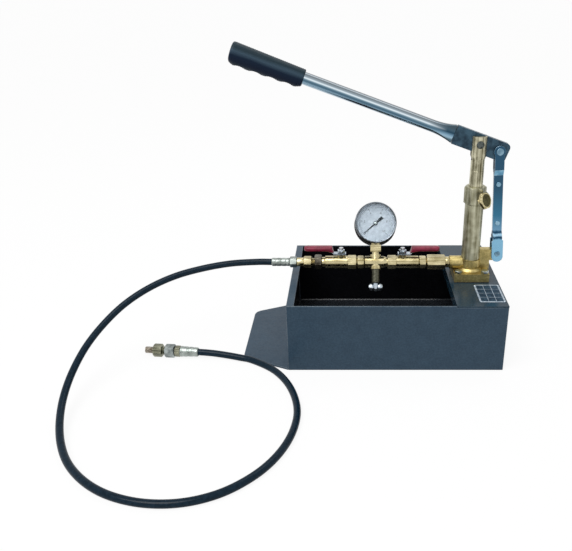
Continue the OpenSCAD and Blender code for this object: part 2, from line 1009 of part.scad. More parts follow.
module valve_body(x, dir) {
    color(brass)
        in_valve(x, dir)
            difference() {
                union() {
                    valve_bar(cap_l, valve_d, valve_l - cap_l);
                    translate([ball_at, 0, 0])
                        cylinder(d = stem_boss_d, h = stem_boss_h);
                }
                valve_bar(cap_l - eps, cavity_d, ball_at + seat_x + seat_t - cap_l + eps);
                valve_bar(cap_l, seat_hole, valve_l);
                valve_bar(valve_l - seal_l, thread_d + 2 * fit, seal_l + eps);
                translate([ball_at, 0, 0])
                    cylinder(d = stem_d + 2 * run, h = stem_boss_h + eps);
            }
}

module valve_cap(x, dir) {
    color(brass)
        in_valve(x, dir)
            difference() {
                rotate([0, 90, 0])
                    hex_bar(cap_af, cap_l);
                valve_bar(-eps, seat_hole, cap_l + 2 * eps);
                valve_bar(-eps, thread_d + 2 * fit, seal_l + eps);
            }
}

module valve_ball(x, dir) {
    color(zinc)
        in_valve(x, dir)
            difference() {
                union() {
                    translate([ball_at, 0, 0])
                        sphere(d = ball_d);
                    translate([ball_at, 0, 0])
                        cylinder(d = stem_d, h = stem_top);
                }
                valve_bar(0, flow_d, valve_l);
            }
}

// Seat rings of one valve, one on each side of its ball
module valve_seat_pair(x, dir) {
    in_valve(x, dir)
        difference() {
            union() {
                valve_bar(cap_l + fit, cavity_d - 2 * fit, ball_at - seat_x - cap_l - fit);
                valve_bar(ball_at + seat_x, cavity_d - 2 * fit, seat_t - fit);
            }
            valve_bar(0, seat_hole, valve_l);
        }
}

module valve_seats() {
    color([0.93, 0.93, 0.90]) {
        valve_seat_pair(right_valve_x, 1);
        valve_seat_pair(left_valve_x, -1);
    }
}

// The handle's bent strip, side view, from its tail behind the stem to its end in the sleeve
module valve_handle(x, dir) {
    low = stem_boss_h + gap;
    up = low + strip_rise;
    end = handle_l - strip_short;
    outline = [
        [-strip_tail, low], [strip_flat, low], [strip_flat + strip_ramp, up], [end, up],
        [end, up + strip_t], [strip_flat + strip_ramp, up + strip_t],
        [strip_flat, low + strip_t], [-strip_tail, low + strip_t]
    ];
    color(zinc)
        in_valve(x, dir)
            translate([ball_at, 0, 0])
                difference() {
                    rotate([90, 0, 0])
                        linear_extrude(strip_w, center = true)
                            polygon(outline);
                    cylinder(d = stem_d + 2 * fit, h = stem_top);
                }
}

module valve_sleeve(x, dir) {
    z = stem_boss_h + gap + strip_rise + strip_t / 2;
    from = handle_l - sleeve_l;
    r = sleeve_w / 2;
    clear = strip_flat + strip_ramp + gap;
    color([0.72, 0.06, 0.14])
        in_valve(x, dir)
            translate([ball_at, 0, z])
                difference() {
                    union() {
                        translate([handle_l - r, 0, -sleeve_h / 2])
                            cylinder(r = r, h = sleeve_h);
                        translate([clear, -r, -sleeve_h / 2])
                            cube([handle_l - r - clear, sleeve_w, sleeve_h]);
                        translate([from, -r, 0])
                            cube([clear - from, sleeve_w, sleeve_h / 2]);
                    }
                    translate([0, -strip_w / 2 - fit, -strip_t / 2 - fit])
                        cube([handle_l - strip_short + fit, strip_w + 2 * fit, strip_t + 2 * fit]);
                }
}

module valve_nut(x, dir) {
    color(zinc)
        in_valve(x, dir)
            translate([ball_at, 0, stem_boss_h + gap + strip_t])
                difference() {
                    hex_bar(stem_nut_af, stem_nut_h);
                    translate([0, 0, -eps])
                        cylinder(d = stem_d + 2 * fit, h = stem_nut_h + 2 * eps);
                }
}

module tee() {
    color(brass)
        difference() {
            union() {
                on_axis(tee_right - tee_l)
                    cylinder(d = tee_d, h = tee_l - tee_taper);
                on_axis(tee_right - tee_taper)
                    cylinder(d1 = tee_d, d2 = tee_nose_d, h = tee_taper);
                on_axis(tee_right)
                    cylinder(d = thread_d, h = thread_gap + thread_l);
                on_socket(axis_z - tee_port)
                    cylinder(d = tee_branch_d, h = 2 * tee_port);
            }
            on_axis(tee_right - tee_l - eps)
                cylinder(d = flow_d, h = tee_l + thread_gap + thread_l + 2 * eps);
            on_axis(tee_right - tee_l - eps)
                cylinder(d = thread_d + 2 * fit, h = seal_l + eps);
            on_socket(axis_z - tee_port - eps)
                cylinder(d = socket_neck_d + 2 * fit, h = 2 * (tee_port + eps));
        }
}

// Outlet and hose ends

module outlet_adapter() {
    root = outlet_x + thread_l;
    hex_x = outlet_x - outlet_neck_l - lock_nut_l - outlet_thread_l - outlet_hex_l;
    color(brass)
        difference() {
            union() {
                on_axis(outlet_x - outlet_neck_l)
                    cylinder(d = outlet_neck_d, h = outlet_neck_l);
                on_axis(hex_x)
                    cylinder(d = outlet_thread_d, h = outlet_x - hex_x);
                on_axis(outlet_x - eps)
                    cylinder(d = thread_d, h = root - outlet_x + eps);
                on_axis(hex_x)
                    hex_bar(outlet_hex_af, outlet_hex_l);
                on_axis(outlet_end)
                    cylinder(d = outlet_ring_d, h = outlet_ring_l);
                on_axis(outlet_end - hose_nut_l + hose_tail_l + gap)
                    cylinder(d = hose_thread_d, h = hose_nut_l);
            }
            on_axis(outlet_end - hose_nut_l)
                cylinder(d = hose_flow_d, h = 3 * tank_l);
        }
}

module outlet_lock_nut() {
    color([0.62, 0.63, 0.62])
        on_axis(outlet_x - outlet_neck_l - lock_nut_l)
            difference() {
                hex_bar(lock_nut_af, lock_nut_l);
                translate([0, 0, -eps])
                    cylinder(d = outlet_thread_d + 2 * fit, h = lock_nut_l + 2 * eps);
            }
}

module hose_nut() {
    color(zinc)
        on_axis(hose_nut_x)
            difference() {
                hex_bar(hose_nut_af, hose_nut_l);
                translate([0, 0, -eps])
                    cylinder(d = hose_tail_d + 2 * fit, h = hose_nut_l + 2 * eps);
                translate([0, 0, hose_tail_l])
                    cylinder(d = hose_thread_d + 2 * fit, h = hose_nut_l);
            }
}

module hose_ferrule() {
    color(zinc)
        difference() {
            union() {
                on_axis(ferrule_x)
                    cylinder(d = ferrule_d, h = ferrule_l);
                on_axis(ferrule_x)
                    cylinder(d = hose_tail_d, h = ferrule_l + gap + hose_tail_l);
            }
            on_axis(ferrule_x - eps)
                cylinder(d = hose_d + 2 * fit, h = hose_grip + eps);
            on_axis(ferrule_x)
                cylinder(d = hose_flow_d, h = 2 * ferrule_l);
        }
}

// The smooth curve through the route's points: each stretch is a cubic set by its four nearest points
function curve_at(p, i, t) =
    let (
        last = len(p) - 1,
        a = p[max(i - 1, 0)],
        b = p[i],
        c = p[min(i + 1, last)],
        d = p[min(i + 2, last)]
    )
    0.5 * (2 * b + (c - a) * t + (2 * a - 5 * b + 4 * c - d) * t * t
        + (3 * b - a - 3 * c + d) * t * t * t);

function unit(v) = v / norm(v);

module hose() {
    mouth = [
        [ferrule_x + hose_grip - gap, pump_y, axis_z],
        [ferrule_x, pump_y, axis_z]
    ];
    out = [cos(far_turn), sin(far_turn), 0];
    far = [far_x, far_y, far_z];
    route = concat(
        mouth,
        HOSE_AIR,
        [for (p = HOSE_FLOOR) [p[0], p[1], hose_floor]],
        HOSE_END,
        [far, far + out * (hose_grip - gap)]
    );
    last = len(route) - 1;
    line = concat(
        [for (i = [0 : last - 1], k = [0 : hose_steps - 1]) curve_at(route, i, k / hose_steps)],
        [route[last]]
    );
    n = len(line);
    rings = [
        for (i = [0 : n - 1])
            let (
                along = unit(line[min(i + 1, n - 1)] - line[max(i - 1, 0)]),
                across = unit(cross(along, [0, 0, 1])),
                up = cross(across, along)
            )
            for (k = [0 : hose_sides - 1])
                let (a = 360 * k / hose_sides)
                line[i] + hose_d / 2 * (cos(a) * across + sin(a) * up)
    ];
    s = hose_sides;
    sides = [
        for (i = [0 : n - 2], k = [0 : s - 1], half = [0, 1])
            let (k2 = (k + 1) % s)
            half == 0
                ? [i * s + k, (i + 1) * s + k2, i * s + k2]
                : [i * s + k, (i + 1) * s + k, (i + 1) * s + k2]
    ];
    first_cap = [[for (k = [0 : s - 1]) k]];
    last_cap = [[for (k = [s - 1 : -1 : 0]) (n - 1) * s + k]];
    color(rubber)
        polyhedron(points = rings, faces = concat(first_cap, sides, last_cap));
}

module far_ferrule() {
    color(zinc)
        difference() {
            union() {
                on_far(0)
                    cylinder(d1 = far_d1, d2 = far_d2, h = ferrule_l);
                on_far(ferrule_l)
                    hex_bar(far_ring_af, far_ring_l);
                on_far(ferrule_l)
                    cylinder(d = hose_thread_d, h = far_ring_l + gap + far_nut_back);
            }
            on_far(-eps)
                cylinder(d = hose_d + 2 * fit, h = hose_grip + eps);
            on_far(0)
                cylinder(d = hose_flow_d, h = 3 * ferrule_l);
        }
}

module far_nut() {
    color(zinc)
        on_far(ferrule_l + far_ring_l + gap)
            difference() {
                hex_bar(far_af, far_nut_l);
                translate([0, 0, -eps])
                    cylinder(d = hose_thread_d + 2 * fit, h = far_nut_l + 2 * eps);
                translate([0, 0, far_nut_back])
                    cylinder(d = far_thread_d + 2 * fit, h = far_nut_l);
            }
}

module far_adapter() {
    from = ferrule_l + far_ring_l + gap + far_nut_back + gap;
    color(brass)
        difference() {
            union() {
                on_far(from)
                    cylinder(d = far_thread_d, h = far_thread_l + eps);
                on_far(from + far_thread_l)
                    hex_bar(far_hex_af, far_hex_l);
                on_far(from + far_thread_l)
                    cylinder(d = tip_d, h = far_hex_l + tip_l);
            }
            on_far(from - eps)
                cylinder(d = hose_flow_d, h = 3 * ferrule_l);
        }
}

// Gauge

// Children lie on the gauge's axis at depth y, with their +Z towards the back
module on_gauge(y) {
    lean_back()
        translate([tee_x, y, gauge_z])
            rotate([-90, 0, 0])
                children();
}

module gauge_socket() {
    seat = axis_z + tee_port - socket_depth;
    square_z = axis_z + tee_port + socket_neck_l;
    color(brass)
        difference() {
            union() {
                on_socket(seat)
                    cylinder(d = socket_neck_d, h = square_z - seat + eps);
                on_socket(square_z)
                    translate([-square_w / 2, -square_w / 2, 0])
                        cube([square_w, square_w, socket_square_h]);
                on_socket(square_z)
                    cylinder(d = socket_stem_d, h = block_top - square_z);
            }
            on_socket(seat - eps)
                cylinder(d = bleed_bore, h = block_z - seat + eps);
        }
}

module gauge_case() {
    color([0.07, 0.07, 0.08])
        difference() {
            on_gauge(case_front)
                cylinder(d = case_d, h = case_l);
            on_gauge(case_front - eps)
                cylinder(d = case_d - 2 * case_wall, h = case_l - case_wall + eps);
            on_socket(gauge_z - case_d)
                cylinder(d = socket_stem_d + 2 * fit, h = case_d);
        }
}

module gauge_bezel() {
    front = case_front - lens_t - bezel_lip;
    color([0.05, 0.05, 0.06])
        difference() {
            on_gauge(front)
                cylinder(d = bezel_d, h = bezel_l);
            on_gauge(front - eps)
                cylinder(d = bezel_d - 2 * bezel_rim, h = bezel_l + 2 * eps);
            on_gauge(front + bezel_lip)
                cylinder(d = case_d + 2 * fit, h = bezel_l);
        }
}

module gauge_lens() {
    color([0.85, 0.90, 0.92, 0.35])
        on_gauge(case_front - lens_t)
            cylinder(d = case_d - 2 * fit, h = lens_t);
}

module gauge_dial() {
    color([0.93, 0.94, 0.93])
        on_gauge(case_front + dial_back)
            difference() {
                cylinder(d = case_d - 2 * case_wall - 2 * fit, h = dial_t);
                translate([0, 0, -eps])
                    cylinder(d = arbor_d + 2 * gap, h = dial_t + 2 * eps);
            }
}

// The plate behind the dial that carries the pointer's arbor, on an arm up from the socket
module gauge_movement() {
    y = case_front + dial_back + dial_t + gap;
    back = pump_y + socket_stem_d / 2 - y;
    color([0.75, 0.66, 0.40])
        difference() {
            lean_back()
                translate([tee_x - movement_w / 2, y, block_top]) {
                    cube([movement_w, movement_t, gauge_z + movement_w / 2 - block_top]);
                    cube([movement_w, back, shelf_t]);
                }
            on_gauge(y - eps)
                cylinder(d = arbor_d + 2 * run, h = movement_t + 2 * eps);
        }
}

// The curved pressure tube, open at the bottom where the socket holds it
module bourdon_tube() {
    y = case_front + case_l - case_wall - coil_tube_d / 2 - coil_gap;
    arm_y = pump_y + socket_stem_d / 2;
    arm_z = gauge_z - coil_r * sin(coil_start);
    color([0.75, 0.60, 0.30])
        lean_back() {
            translate([tee_x, y, gauge_z])
                rotate([90, 0, 0])
                    rotate([0, 0, -coil_start])
                        rotate_extrude(angle = coil_turn)
                            translate([coil_r, 0])
                                circle(d = coil_tube_d, $fn = 24);
            translate([tee_x, arm_y, arm_z - coil_arm_h / 2])
                cube([coil_r * cos(coil_start) + coil_tube_d / 2, y - arm_y + eps, coil_arm_h]);
        }
}

module gauge_pointer() {
    y = case_front + dial_back - gap - pointer_t;
    back = case_front + dial_back + dial_t + gap + movement_t;
    color([0.04, 0.04, 0.04]) {
        on_gauge(y)
            cylinder(d = pointer_hub_d, h = pointer_t);
        on_gauge(y)
            cylinder(d = arbor_d, h = back - y);
        on_gauge(y)
            linear_extrude(pointer_t)
                rotate(pointer_a)
                    polygon([[-pointer_tail, -pointer_w], [0, -pointer_w / 2],
                             [pointer_l, -pointer_tip / 2], [pointer_l, pointer_tip / 2],
                             [0, pointer_w / 2], [-pointer_tail, pointer_w]]);
    }
}

// Bleed screw

module bleed_body() {
    color([0.70, 0.66, 0.52])
        difference() {
            union() {
                on_socket(bleed_z)
                    cylinder(d = bleed_d, h = bleed_l);
                on_socket(bleed_z)
                    cylinder(d = socket_neck_d, h = bleed_l + socket_depth);
            }
            on_socket(bleed_z - eps)
                cylinder(d = bleed_bore, h = bleed_l + socket_depth + 2 * eps);
        }
}

module bleed_needle() {
    color(zinc)
        on_socket(wing_top - wing_h / 2)
            cylinder(d = needle_d, h = needle_l);
}

module bleed_wing() {
    lobe_x = (wing_span - wing_lobe_d) / 2;
    color(zinc)
        on_socket(wing_top - wing_h)
            difference() {
                union() {
                    cylinder(d = wing_hub_d, h = wing_h);
                    for (s = [-1, 1])
                        translate([s * lobe_x, 0, wing_h / 2])
                            cross_bar(wing_lobe_d, wing_t);
                }
                translate([0, 0, wing_h / 2 - gap])
                    cylinder(d = needle_d + 2 * run, h = wing_h);
            }
}

tank_shell();
deck_plate();
foot_plate();
pump_base();
base_gasket();
base_bolts();
suction_tube();
suction_strainer();
suction_ball();
pump_cylinder();
gland_nut();
packing_rings();
vent_plug();
plunger_rod();
plunger_clevis();
plunger_pin();
lever_bar();
lever_tube();
lever_grip();
link_strap_front();
link_strap_rear();
link_rivets();
link_pins();
check_body();
discharge_ball();
pump_nipple();
valve_body(right_valve_x, 1);  // right_valve_body
valve_cap(right_valve_x, 1);  // right_valve_cap
valve_ball(right_valve_x, 1);  // right_valve_ball
valve_handle(right_valve_x, 1);  // right_valve_handle
valve_sleeve(right_valve_x, 1);  // right_valve_sleeve
valve_nut(right_valve_x, 1);  // right_valve_nut
valve_body(left_valve_x, -1);  // left_valve_body
valve_cap(left_valve_x, -1);  // left_valve_cap
valve_ball(left_valve_x, -1);  // left_valve_ball
valve_handle(left_valve_x, -1);  // left_valve_handle
valve_sleeve(left_valve_x, -1);  // left_valve_sleeve
valve_nut(left_valve_x, -1);  // left_valve_nut
valve_seats();
tee();
left_nipple();
outlet_adapter();
outlet_lock_nut();
hose_nut();
hose_ferrule();
hose();
far_ferrule();
far_nut();
far_adapter();
gauge_socket();
gauge_case();
gauge_bezel();
gauge_lens();
gauge_dial();
gauge_movement();
bourdon_tube();
gauge_pointer();
bleed_body();
bleed_needle();
bleed_wing();
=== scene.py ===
import json
import math

import bmesh
import bpy
from mathutils import Matrix, Vector


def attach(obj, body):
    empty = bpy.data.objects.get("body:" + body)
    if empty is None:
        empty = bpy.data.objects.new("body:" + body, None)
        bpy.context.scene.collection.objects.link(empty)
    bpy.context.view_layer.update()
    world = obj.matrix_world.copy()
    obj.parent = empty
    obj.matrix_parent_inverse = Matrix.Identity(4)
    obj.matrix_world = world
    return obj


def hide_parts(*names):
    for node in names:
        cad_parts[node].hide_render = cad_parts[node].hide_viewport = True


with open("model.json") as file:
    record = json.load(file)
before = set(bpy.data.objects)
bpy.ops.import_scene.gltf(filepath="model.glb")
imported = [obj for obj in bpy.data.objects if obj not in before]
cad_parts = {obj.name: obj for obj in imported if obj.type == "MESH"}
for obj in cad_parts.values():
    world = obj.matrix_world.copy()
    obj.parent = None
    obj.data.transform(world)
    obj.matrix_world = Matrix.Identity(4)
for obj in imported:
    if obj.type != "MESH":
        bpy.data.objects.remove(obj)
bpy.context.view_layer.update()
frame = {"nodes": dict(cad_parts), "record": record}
scene = bpy.context.scene
scene.view_settings.view_transform = "Standard"

# Bodies and material slots of the CAD nodes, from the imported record
NODE_BODY = {n: b for b, ns in frame["record"]["behaviour"]["bodies"].items() for n in ns}
NODE_SLOT = {s["node"]: s["material_slot"] for s in frame["record"]["subparts"]}

# Sizes and places of the part, in millimetres; finished pieces are scaled to metres
MM = 0.001
# Play between a bore and what it takes, and how near two places count as one
FIT = 0.1
NEAR = 0.1

# Tank and its welds
TANK_L = 300
TANK_D = 220
TANK_H = 100
SHEET = 2
FOOT_T = 3
FOOT_WELD_D = 3
SEAM_WELD_D = 3.4
WELD_RIPPLE = 2.4

# Data plate: its edges on the deck, its panels and its rivets
PLATE_X0 = 112.5
PLATE_X1 = 148
PLATE_Y0 = -98
PLATE_Y1 = -43
PLATE_T = 0.6
PLATE_CORNER = 2.5
PLATE_BORDER = 2
PLATE_LINE = 0.8
PANEL_COLUMNS = 3
PANEL_ROWS = 4
PANEL_T = 0.08
PLATE_RIVET_IN = 1.9

# Pump
PUMP_X = 111
PUMP_Y = -10
FLANGE_Z = 113
BOLT_AT = 19
BOLT_D = 6
BOLT_L = 17
BOLT_AF = 10
BOLT_HEAD_H = 4
BOLT_NUT_H = 5
BOLT_TAIL = 7
CYL_Z = 212
GLAND_AF = 27
GLAND_H = 25
PLUNGER_D = 19.1
CLEVIS_D = 22
NECK_Z = 280
NECK_D = 18.8
NECK_TAPER = 5
FORK_Z = 274
FORK_W = 8.6
PLUG_TURN = -45
PLUG_TILT = 20
PLUG_RISE = 2.5
PLUG_SIDE = 8
PLUG_SHANK_X = 14.2
PLUG_SHANK_D = 7
PLUG_HEAD_X = 21.5
PLUG_AF = 22
PLUG_H = 5
PLUG_DISH = 0.6

# Lever and link; places on the tube and grip are measured from the pivot
PIVOT = (139.003, PUMP_Y, 286.808)
LEVER_A = 20
TUBE_FROM = 67.3
TUBE_TO = 371
TUBE_D = 16.5
CRIMP_L = 34
CRIMP_H = 25
CRIMP_T = 11
# Where the tube's painted reflection bands give way to the pressed end's painted bands, measured from the
# pivot
PRESSED_BANDS_FROM = TUBE_FROM + CRIMP_L + 4
PRESSED_BANDS_TO = TUBE_FROM + CRIMP_L / 3
GRIP_FROM = 280
GRIP_L = 99
GRIP_D1 = 22.5
GRIP_D2 = 27
GRIP_LEAD = 8
GRIP_MARGIN = 6
GRIP_END = 8
FINGERS = 4
FINGER_R = 16
FINGER_CUT = 2.4
FINGER_CROWN = 0.12
RIDGE_DROP = 3
RIBS = 70
RIB_CUT = 0.25
# Height span of the grip's painted sheen and shade, about the lever's axis
PAINTED_SHEEN_LOW = -17
PAINTED_SHEEN_HIGH = 14
LINK_LOW_Z = 145
LINK_MID_Z = 215
LINK_HIGH_Z = 255

# Manifold: fittings along X, from the pump to the tee, and the two valves
AXIS_Z = 122
THREAD_D = 13
FLOW_D = 6.5
CHECK_X = 48
CHECK_AF = 19
CHECK_L = 26.5
CHECK_NECK_D = 16
CHECK_NECK_L = 6.5
CHECK_THREAD_L = 8
PUMP_NIPPLE_X = 37
LEFT_NIPPLE_X = -53
NIPPLE_AF = 16
NIPPLE_L = 9.5
RIGHT_VALVE_X = -9.5
LEFT_VALVE_X = -54.5
CAP_L = 13
CAP_AF = 17.5
BALL_AT = 22
STEM_D = 6
STEM_NUT_Z = AXIS_Z + 14.3
STEM_NUT_AF = 10
STEM_NUT_H = 5
SLEEVE_Z = AXIS_Z + 21.3
SLEEVE_FROM = 13
SLEEVE_TO = 54
SLEEVE_W = 12.5
SLEEVE_H = 7
SLEEVE_LEAN = 0.8
TEE_X = -26.5
TEE_TILT = 28
WING_TOP = 91.2
WING_H = 12
WING_HUB_D = 8.4
LOBE_AT = 6.1
LOBE_SIZE = (4.7, 2.9, 4.7)
NEEDLE_BORE = 3.9

# Outlet adapter, from the left valve outwards
OUTLET_X = -99.5
OUTLET_THREAD_L = 8
COLLAR_D = 14
COLLAR_L = 5.5
COLLAR_X = OUTLET_X - COLLAR_L
LOCK_THREAD_D = 12
LOCK_THREAD_L = 15
LOCK_THREAD_X = COLLAR_X - LOCK_THREAD_L
LOCK_NUT_AF = 19
LOCK_NUT_L = 10
OUTLET_AF = 15
OUTLET_HEX_L = 11
OUTLET_HEX_X = LOCK_THREAD_X - OUTLET_HEX_L
OUTLET_BODY_D = 13
OUTLET_BODY_L = 10
OUTLET_BODY_X = OUTLET_HEX_X - OUTLET_BODY_L
OUTLET_TIP_D = 10
OUTLET_TIP_L = 5

# Hose and its end fittings; places at the free end are measured from the ferrule's mouth
HOSE_D = 9.5
HOSE_GRIP = 19.7
HOSE_FLOW_D = 4.5
HOSE_NUT_X = -151.3
HOSE_NUT_AF = 14
HOSE_NUT_L = 10
HOSE_STEM_D = 8
HOSE_STEM_L = 5.3
FERRULE_X = -177.6
FERRULE_L = 26
FERRULE_D = 12
FERRULE_GROOVES = 3
FAR_AT = (-282, -75, 8.6)
FAR_TURN = 175
FAR_MOUTH_D = 13
FAR_FERRULE_D = 15.5
FAR_RING_AF = 14
FAR_RING_L = 8
FAR_STEM_D = 10
FAR_STEM_L = 12.3
FAR_NUT_AT = 34.3
FAR_NUT_AF = 17
FAR_NUT_L = 14
FAR_THREAD_AT = 38.6
FAR_THREAD_D = 12
FAR_THREAD_L = 14
FAR_HEX_AT = 52.6
FAR_HEX_AF = 16.5
FAR_HEX_L = 13
FAR_TIP_AT = 65.6
FAR_TIP_D = 9.7
FAR_TIP_L = 12

# Gauge
GAUGE_Z = AXIS_Z + 55.5
CASE_D = 57
CASE_FRONT = -25
CASE_L = 30
BEZEL_D = 60
BEZEL_AT = CASE_FRONT - 3.5
RIM_AT = CASE_FRONT + CASE_L - 4.5
DIAL_Y = CASE_FRONT + 6
POINTER_LIFT = 0.9
POINTER_CAP_RISE = 0.9

# Camera: focal length and optical axis in the photograph's pixels, place in metres
IMAGE_W = 572
FOCAL_PX = 687
AXIS_X_PX = 349
SENSOR_W = 36
CAMERA_AT = (-0.0652, -0.931, 0.518)
CAMERA_PITCH = 24.4


def placed(name, data):
    """A new object in the scene."""
    thing = bpy.data.objects.new(name, data)
    scene.collection.objects.link(thing)
    return thing


def make_camera():
    data = bpy.data.cameras.new("camera")
    data.sensor_width = SENSOR_W
    data.lens = FOCAL_PX / IMAGE_W * SENSOR_W
    data.shift_x = (IMAGE_W / 2 - AXIS_X_PX) / IMAGE_W
    camera = placed("camera", data)
    camera.location = CAMERA_AT
    camera.rotation_euler = (math.radians(90 - CAMERA_PITCH), 0, 0)
    scene.camera = camera


# Frames that pieces are built in

def turn(degrees, axis):
    return Matrix.Rotation(math.radians(degrees), 4, axis)


def move(x, y, z):
    return Matrix.Translation((x, y, z))


LEAN = move(0, PUMP_Y, AXIS_Z) @ turn(-TEE_TILT, "X") @ move(0, -PUMP_Y, -AXIS_Z)
LEVER = move(*PIVOT) @ turn(LEVER_A, "Y")


def on_manifold(x):
    return move(x, PUMP_Y, AXIS_Z) @ turn(90, "Y")


def on_pump(z):
    return move(PUMP_X, PUMP_Y, z)


def on_plug(x):
    tilted = on_pump(CYL_Z + PLUG_RISE) @ turn(PLUG_TURN, "Z") @ turn(-PLUG_TILT, "Y")
    return tilted @ move(x, -PLUG_SIDE, 0) @ turn(90, "Y")


def on_gauge(y):
    return LEAN @ move(TEE_X, y, GAUGE_Z) @ turn(-90, "X")


def on_far(x):
    return move(*FAR_AT) @ turn(FAR_TURN, "Z") @ move(x, 0, 0) @ turn(90, "Y")


# Materials

ALONG_X = (0.06, 1, 1)
ALONG_Z = (1, 1, 0.04)


def set_inputs(node, sockets):
    for key, value in sockets.items():
        node.inputs[key.replace("_", " ")].default_value = value
    return node


class Shader:
    """A procedural material: a principled shader with helpers for its nodes."""

    def __init__(self, name, **sockets):
        self.material = bpy.data.materials.new(name)
        self.material.use_nodes = True
        self.tree = self.material.node_tree
        self.bsdf = set_inputs(self.tree.nodes["Principled BSDF"], sockets)
        self.coords = self.tree.nodes.new("ShaderNodeTexCoord").outputs["Object"]

    def node(self, kind, **sockets):
        return set_inputs(self.tree.nodes.new("ShaderNode" + kind), sockets)

    def link(self, source, target):
        self.tree.links.new(source, target)

    def sampled(self, kind, vector=None, **sockets):
        """A node that reads vector, or else the object's coordinates."""
        node = self.node(kind, **sockets)
        self.link(vector or self.coords, node.inputs["Vector"])
        return node

    def stretched(self, x, y, z):
        """The object's coordinates, pulled out along the axes with a small number."""
        return self.sampled("Mapping", Scale=(x, y, z)).outputs["Vector"]

    def noise(self, scale, detail=3, vector=None):
        return self.sampled("TexNoise", vector, Scale=scale, Detail=detail).outputs["Fac"]

    def along(self, at, degrees, stretch):
        """Coordinates in a frame at a point, turned about Y and drawn out along its X."""
        turned = (0, math.radians(degrees), 0)
        node = self.sampled("Mapping", Location=Vector(at) * MM, Rotation=turned, Scale=(stretch, 1, 1))
        node.vector_type = "TEXTURE"
        return node.outputs["Vector"]

    def cells(self, scale):
        node = self.sampled("TexVoronoi", Scale=scale)
        node.feature = "SMOOTH_F1"
        return node.outputs["Distance"]

    def mixed(self, a, b, share):
        node = self.node("Mix", Factor=share)
        self.link(a, node.inputs["A"])
        self.link(b, node.inputs["B"])
        return node.outputs["Result"]

    def mapped(self, source, start, end, low, high):
        node = self.node("MapRange", From_Min=start, From_Max=end, To_Min=low, To_Max=high)
        self.link(source, node.inputs["Value"])
        return node.outputs["Result"]

    def part(self, axis, vector=None):
        return self.sampled("SeparateXYZ", vector).outputs[axis]

    def height(self, low, high, vector=None):
        """Nought at the height low and one at the height high, in metres."""
        return self.mapped(self.part("Z", vector), low, high, 0, 1)

    def tones(self, fac, stops):
        """A colour along fac, through stops of (share, colour) from the lowest share up."""
        node = self.node("ValToRGB")
        marks = node.color_ramp.elements
        for mark, (share, shade) in zip(marks, (stops[0], stops[-1])):
            mark.position = share
            mark.color = (*shade, 1)
        for share, shade in stops[1:-1]:
            marks.new(share).color = (*shade, 1)
        self.link(fac, node.inputs["Fac"])
        return node.outputs["Color"]

    def blend(self, a, b, share):
        """The colour a where share is nought, b where it is one."""
        node = self.node("Mix")
        node.data_type = "RGBA"
        factor, first, second = node.inputs[0], node.inputs[6], node.inputs[7]
        self.link(share, factor)
        self.link(a, first)
        self.link(b, second)
        return node.outputs[2]

    def base(self, tone):
        self.link(tone, self.bsdf.inputs["Base Color"])

    def ramp(self, fac, stops):
        self.base(self.tones(fac, stops))

    def colour(self, fac, low, high, span=(0.35, 0.65)):
        self.ramp(fac, [(span[0], low), (span[1], high)])

    def rough(self, fac, low, high):
        self.link(self.mapped(fac, 0.3, 0.7, low, high), self.bsdf.inputs["Roughness"])

    def bump(self, fac, strength, depth):
        node = self.node("Bump", Strength=strength, Distance=depth)
        self.link(fac, node.inputs["Height"])
        if self.bsdf.inputs["Normal"].is_linked:
            self.link(self.bsdf.inputs["Normal"].links[0].from_socket, node.inputs["Normal"])
        self.link(node.outputs["Normal"], self.bsdf.inputs["Normal"])


def paint(name, low, high, rough, level):
    """Hammered paint: a fine mottle over a pebbled surface."""
    s = Shader(name, Specular_IOR_Level=level)
    s.colour(s.mixed(s.noise(45, 4), s.noise(420, 4), 0.65), low, high)
    s.rough(s.noise(160), *rough)
    s.bump(s.cells(420), 0.25, 0.0003)
    s.bump(s.noise(1400), 0.1, 0.0002)
    return s.material


def brass(name, low, high, rough, grain=(1, 1, 1), streak=420, metal=1.0):
    """Brass with tarnish drawn out along the grain."""
    s = Shader(name, Metallic=metal)
    streaks = s.noise(streak, 4, s.stretched(*grain))
    s.colour(s.mixed(s.noise(80, 5), streaks, 0.6), low, high, (0.38, 0.62))
    s.rough(s.noise(500, 4), *rough)
    s.bump(s.noise(1500, 4, s.stretched(*grain)), 0.08, 0.0001)
    return s.material


def steel(name, low, high, rough, mottle=110):
    s = Shader(name, Metallic=1.0)
    s.colour(s.noise(mottle, 4), low, high)
    s.rough(s.noise(700, 4), *rough)
    s.bump(s.noise(2400, 3), 0.08, 0.0001)
    return s.material


